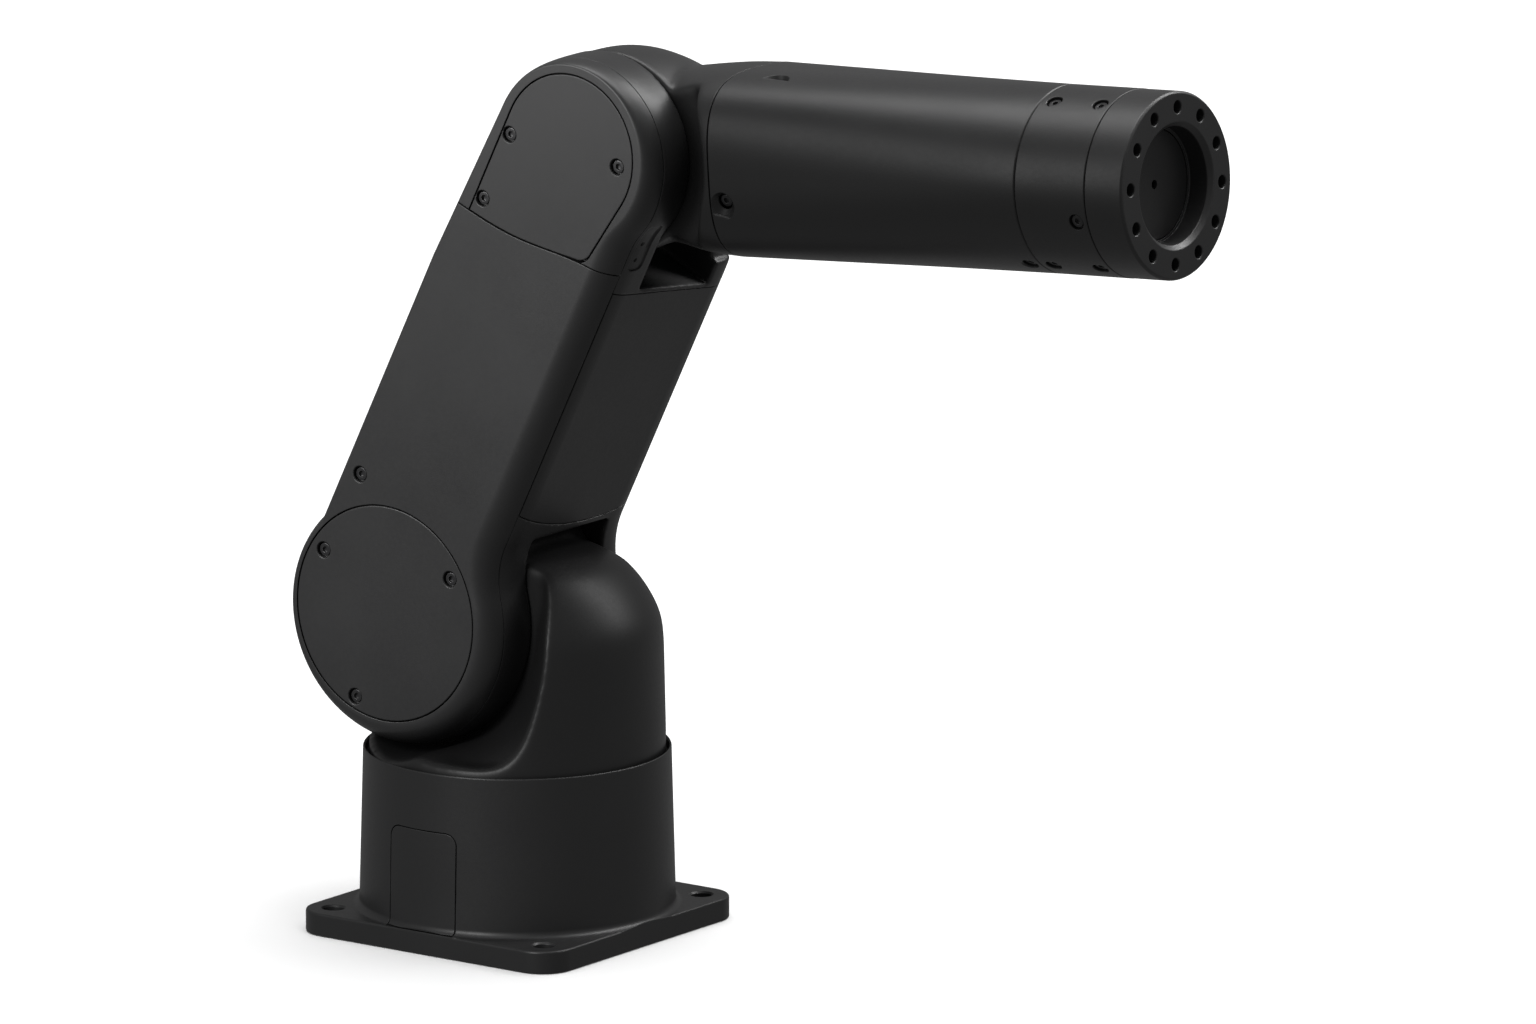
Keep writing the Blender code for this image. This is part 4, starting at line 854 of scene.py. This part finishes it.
def forearm_pieces():
    crown = [(31.5, 25), (35.5, 16), (39.5, 5), (41.8, -5), (42.5, -14)]
    crown = [(0, 29), (29.8, 29)] + spline(crown) + [(42.5, -27), (0, -27)]
    knuckle = mesh_object("elbow_casting", turned(crown, FINE, "Y"), FOREARM)
    neck = [(0, 25, 33, 2.2), (25, 32, 36.5, 2.4), (44, 38.6, 38.2, 2.8), (ROOT_X, 39.2, 38.5, 3.2)]
    join(knuckle, loft(tube_rings(spline(neck, 5) + [(ROOT_X + 14, 39.2, 38.5, 3.2)])))
    for near, far in ((-60, HEAD_Y[0]), (HEAD_Y[1], 60)):
        cut(knuckle, neck_clearance(near, far))
        cut(knuckle, swing_bay((0, 0), *NECK_BAY, near, far))
    soften(knuckle, voxel=0.7, rounds=80)
    keep(knuckle, box((-60, -60, -60), (ROOT_X - GAP / 2, 60, 60)))
    hollow = [(0, 22.7), (26.5, 22.7), (33, 10), (37.5, -6), (37.5, -20.7), (0, -20.7)]
    cut(knuckle, turned(hollow, MEDIUM, "Y"))
    cut(knuckle, disc(22, 20, 80, MEDIUM, "X", (0, TUBE_DROP)))
    cut(knuckle, disc(ELBOW_HUB_HOLE_R + 0.2, -60, -18, MEDIUM), disc(ELBOW_BEARING_R + GAP, 20, 60, COARSE))
    finished(knuckle, "forearm", "elbow_knuckle")

    stations = [(ROOT_X + GAP / 2, 39.2, 38.5, 3.2), (100, 38.8, 38.5, 2.8), (160, 38.5, 38.4, 2.3)]
    stations.append((WRIST_X - GAP / 2, TUBE_R, TUBE_R, 2.0))
    fine = spline(stations, 8)
    tube = mesh_object("forearm_tube", loft(tube_rings(broken_ends(fine))), FOREARM)
    through = [(ROOT_X - 5, *fine[0][1:])] + fine[1:-1] + [(WRIST_X + 5, *fine[-1][1:])]
    cut(tube, loft(tube_rings(through, TUBE_WALL)))
    forearm_spots = [on_tube(x, angle) for x, angle in FOREARM_SCREWS]
    cut(tube, *[screw_holes(place, direction) for place, direction in forearm_spots])
    finished(tube, "forearm", "forearm_shell")

    axis = (0, TUBE_DROP)
    barrel = disc(TUBE_R, WRIST_X + GAP / 2, TOOL_X - GAP / 2, FINE, "X", axis, 0.5)
    wrist = mesh_object("wrist_casting", barrel, FOREARM)
    cut(wrist, disc(WRIST_DRIVE_R, 200, 260, MEDIUM, "X", axis))
    cut(wrist, disc(WRIST_SEAT_R, WRIST_SEAT_X, 260, MEDIUM, "X", axis))
    wrist_spots = [on_tube(x, angle) for x, angle in WRIST_SCREWS]
    cut(wrist, *[screw_holes(place, direction) for place, direction in wrist_spots])
    finished(wrist, "forearm", "wrist_housing")

    for number, (place, direction) in enumerate(forearm_spots, 1):
        screw(f"forearm_screw_{number}", "forearm", place, direction)
    for number, (place, direction) in enumerate(wrist_spots, 1):
        screw(f"wrist_screw_{number}", "forearm", place, direction)


# --- tool flange --------------------------------------------------------------------------------
def tool_pieces():
    back, face = TOOL_X + GAP / 2 - FLANGE_X, 0.0
    floor = face - FLANGE_BORE_DEPTH
    profile = [(0, floor), (FLANGE_BORE_R, floor), (FLANGE_BORE_R, face - 2), (FLANGE_BORE_R + 2, face)]
    profile += [(FLANGE_FACE_R, face), (FLANGE_R, face - 0.9), (FLANGE_R, back), (0, back)]
    flange = mesh_object("tool_mount", turned(eased(profile, 0.35), FINE, "X"), TOOL)
    for number in range(FLANGE_HOLES):
        angle = math.radians(FLANGE_PHASE + 360 / FLANGE_HOLES * number)
        centre = (-FLANGE_HOLE_CIRCLE_R * math.sin(angle), FLANGE_HOLE_CIRCLE_R * math.cos(angle))
        hole = [(0, 3), (FLANGE_HOLE_R + 3.3, 3), (FLANGE_HOLE_R, -0.3), (FLANGE_HOLE_R, -9), (0, -9)]
        cut(flange, turned(hole, SMALL, "X", centre))
    cut(flange, disc(PLUG_R + GAP, floor - 2.1, 0, FINE, "X"), disc(4, -40, 0, COARSE, "X"))
    finished(flange, "tool", "tool_flange")
    plug = mesh_object("flange_plug", disc(PLUG_R, floor - 1.8, floor - 0.4, FINE, "X", edge=0.25), TOOL)
    cut(plug, disc(1.9, -40, 0, SMALL, "X"))
    finished(plug, "tool", "flange_centre_disc")


def dress_cad_nodes():
    """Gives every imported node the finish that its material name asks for."""
    for node in frame["nodes"].values():
        for material_slot in node.material_slots:
            label = (material_slot.material.name if material_slot.material else "").split(".")[0]
            material_slot.material = FINISH.get(label, STEEL)


# --- studio -------------------------------------------------------------------------------------
CAMERA_PLACE, CAMERA_ANGLES, CAMERA_LENS = (4855.0147, -6441.8650, 2001.2359), (36.265929, 12.757273), 468.75
UPPER_BODIES = ("forearm", "tool")
LIGHTS = (  # name, azimuth and elevation in degrees, distance, (width, height), power, bodies
    ("left_key", -30, 20, 1.1, (0.5, 0.5), 14.0, ("upper_arm",)),
    ("left_fill", -24, 22, 1.1, (0.35, 0.5), 2.1, UPPER_BODIES),
    ("front_key", -4, 24, 1.2, (0.3, 0.7), 12.0, ("base",)),
    ("front_key_turret", -4, 20, 1.2, (0.3, 0.7), 7.5, ("turret",)),
    ("overhead", 0, 88, 1.1, (1.2, 0.5), 13.0, ("upper_arm",) + UPPER_BODIES),
    ("overhead_low", 0, 84, 1.1, (1.0, 0.8), 3.5, ("base",)),
    ("flange_front", 84, 14, 1.1, (0.5, 0.5), 0.7, ("tool",)),
    ("right_rear", 150, 48, 1.3, (0.3, 0.9), 14.0, ("base", "upper_arm") + UPPER_BODIES),
    ("right_rear_turret", 138, 36, 1.3, (0.3, 0.9), 6.0, ("turret",)),
)


def area_light(name, place, target, size, power):
    data = bpy.data.lights.new(name, "AREA")
    data.shape = "RECTANGLE"
    data.size, data.size_y = size
    data.energy = power
    made = bpy.data.objects.new(name, data)
    bpy.context.scene.collection.objects.link(made)
    made.location = place
    made.rotation_euler = (Vector(target) - Vector(place)).to_track_quat("-Z", "Y").to_euler()
    return made


def studio():
    world = bpy.data.worlds.new("studio")
    bpy.context.scene.world = world
    world.use_nodes = True
    nodes, links = world.node_tree.nodes, world.node_tree.links
    background = nodes["Background"]
    background.inputs["Strength"].default_value = 1.0
    direction = nodes.new("ShaderNodeTexCoord").outputs["Generated"]
    split = nodes.new("ShaderNodeSeparateXYZ")
    links.new(direction, split.inputs[0])
    height = nodes.new("ShaderNodeMapRange")
    height.inputs["From Min"].default_value = -1.0
    links.new(split.outputs["Z"], height.inputs["Value"])
    below_level_above = ((0.0, 0.30), (0.5, 0.21), (1.0, 0.26))
    sky = ramp(nodes, links, height.outputs["Result"], below_level_above)
    sight = nodes.new("ShaderNodeLightPath").outputs["Is Camera Ray"]
    links.new(mixed(nodes, links, sight, sky, (1.0, 1.0, 1.0)), background.inputs["Color"])

    work = bmesh.new()
    bmesh.ops.create_grid(work, x_segments=8, y_segments=8, size=4.0)
    mesh = bpy.data.meshes.new("studio_floor")
    work.to_mesh(mesh)
    work.free()
    floor = bpy.data.objects.new("studio_floor", mesh)
    bpy.context.scene.collection.objects.link(floor)
    floor.location = (0, 0, -0.2 * MM)
    paper, paper_nodes, paper_links, shader = new_material("floor_paper")
    place = paper_nodes.new("ShaderNodeTexCoord").outputs["Object"]
    cloud = noise(paper_nodes, paper_links, place, 3.0)
    tone = ramp(paper_nodes, paper_links, cloud, ((0.3, 0.93), (0.7, 0.95)))
    paper_links.new(tone, shader.inputs["Base Color"])
    shader.inputs["Roughness"].default_value = 0.9
    shader.inputs["Specular IOR Level"].default_value = 0.1
    mesh.materials.append(paper)

    floor.visible_diffuse = False
    floor.visible_glossy = False
    only_floor = bpy.data.collections.new("floor_only")
    only_floor.objects.link(floor)
    wash = bpy.data.objects.new("floor_wash", bpy.data.lights.new("floor_wash", "SUN"))
    wash.data.energy = 3.9
    wash.data.angle = math.radians(95)
    wash.rotation_euler = (math.radians(-8), math.radians(10), 0)
    wash.light_linking.receiver_collection = only_floor
    bpy.context.scene.collection.objects.link(wash)


def light_the_object():
    """Soft boxes that light the robot alone, so that the floor stays an even white."""
    groups, centre = {}, Vector((0.1, 0.0, 0.22))
    for name, azimuth, elevation, far, size, power, bodies in LIGHTS:
        if bodies not in groups:
            groups[bodies] = bpy.data.collections.new("lit_" + "_".join(bodies))
            for piece in bpy.context.scene.objects:
                if piece.type == "MESH" and (body_of(piece) or [""])[0] in bodies:
                    groups[bodies].objects.link(piece)
        a, e = math.radians(azimuth), math.radians(elevation)
        back = Vector((math.sin(a) * math.cos(e), -math.cos(a) * math.cos(e), math.sin(e)))
        light = area_light(name, centre + back * far, centre, size, power)
        light.light_linking.receiver_collection = groups[bodies]


def camera():
    """Looks from in front of the drive side, a little above, with almost no perspective."""
    azimuth, elevation = (math.radians(angle) for angle in CAMERA_ANGLES)
    data = bpy.data.cameras.new("studio_camera")
    data.sensor_width = 36.0
    data.lens = CAMERA_LENS
    data.clip_end = 40.0
    made = bpy.data.objects.new("studio_camera", data)
    bpy.context.scene.collection.objects.link(made)
    made.location = Vector(CAMERA_PLACE) * MM
    made.rotation_euler = (math.pi / 2 - elevation, 0, azimuth)
    bpy.context.scene.camera = made


camera()
studio()
base_pieces()
turret_pieces()
upper_arm_pieces()
forearm_pieces()
tool_pieces()
dress_cad_nodes()
light_the_object()
bpy.context.scene.view_settings.view_transform = "Standard"
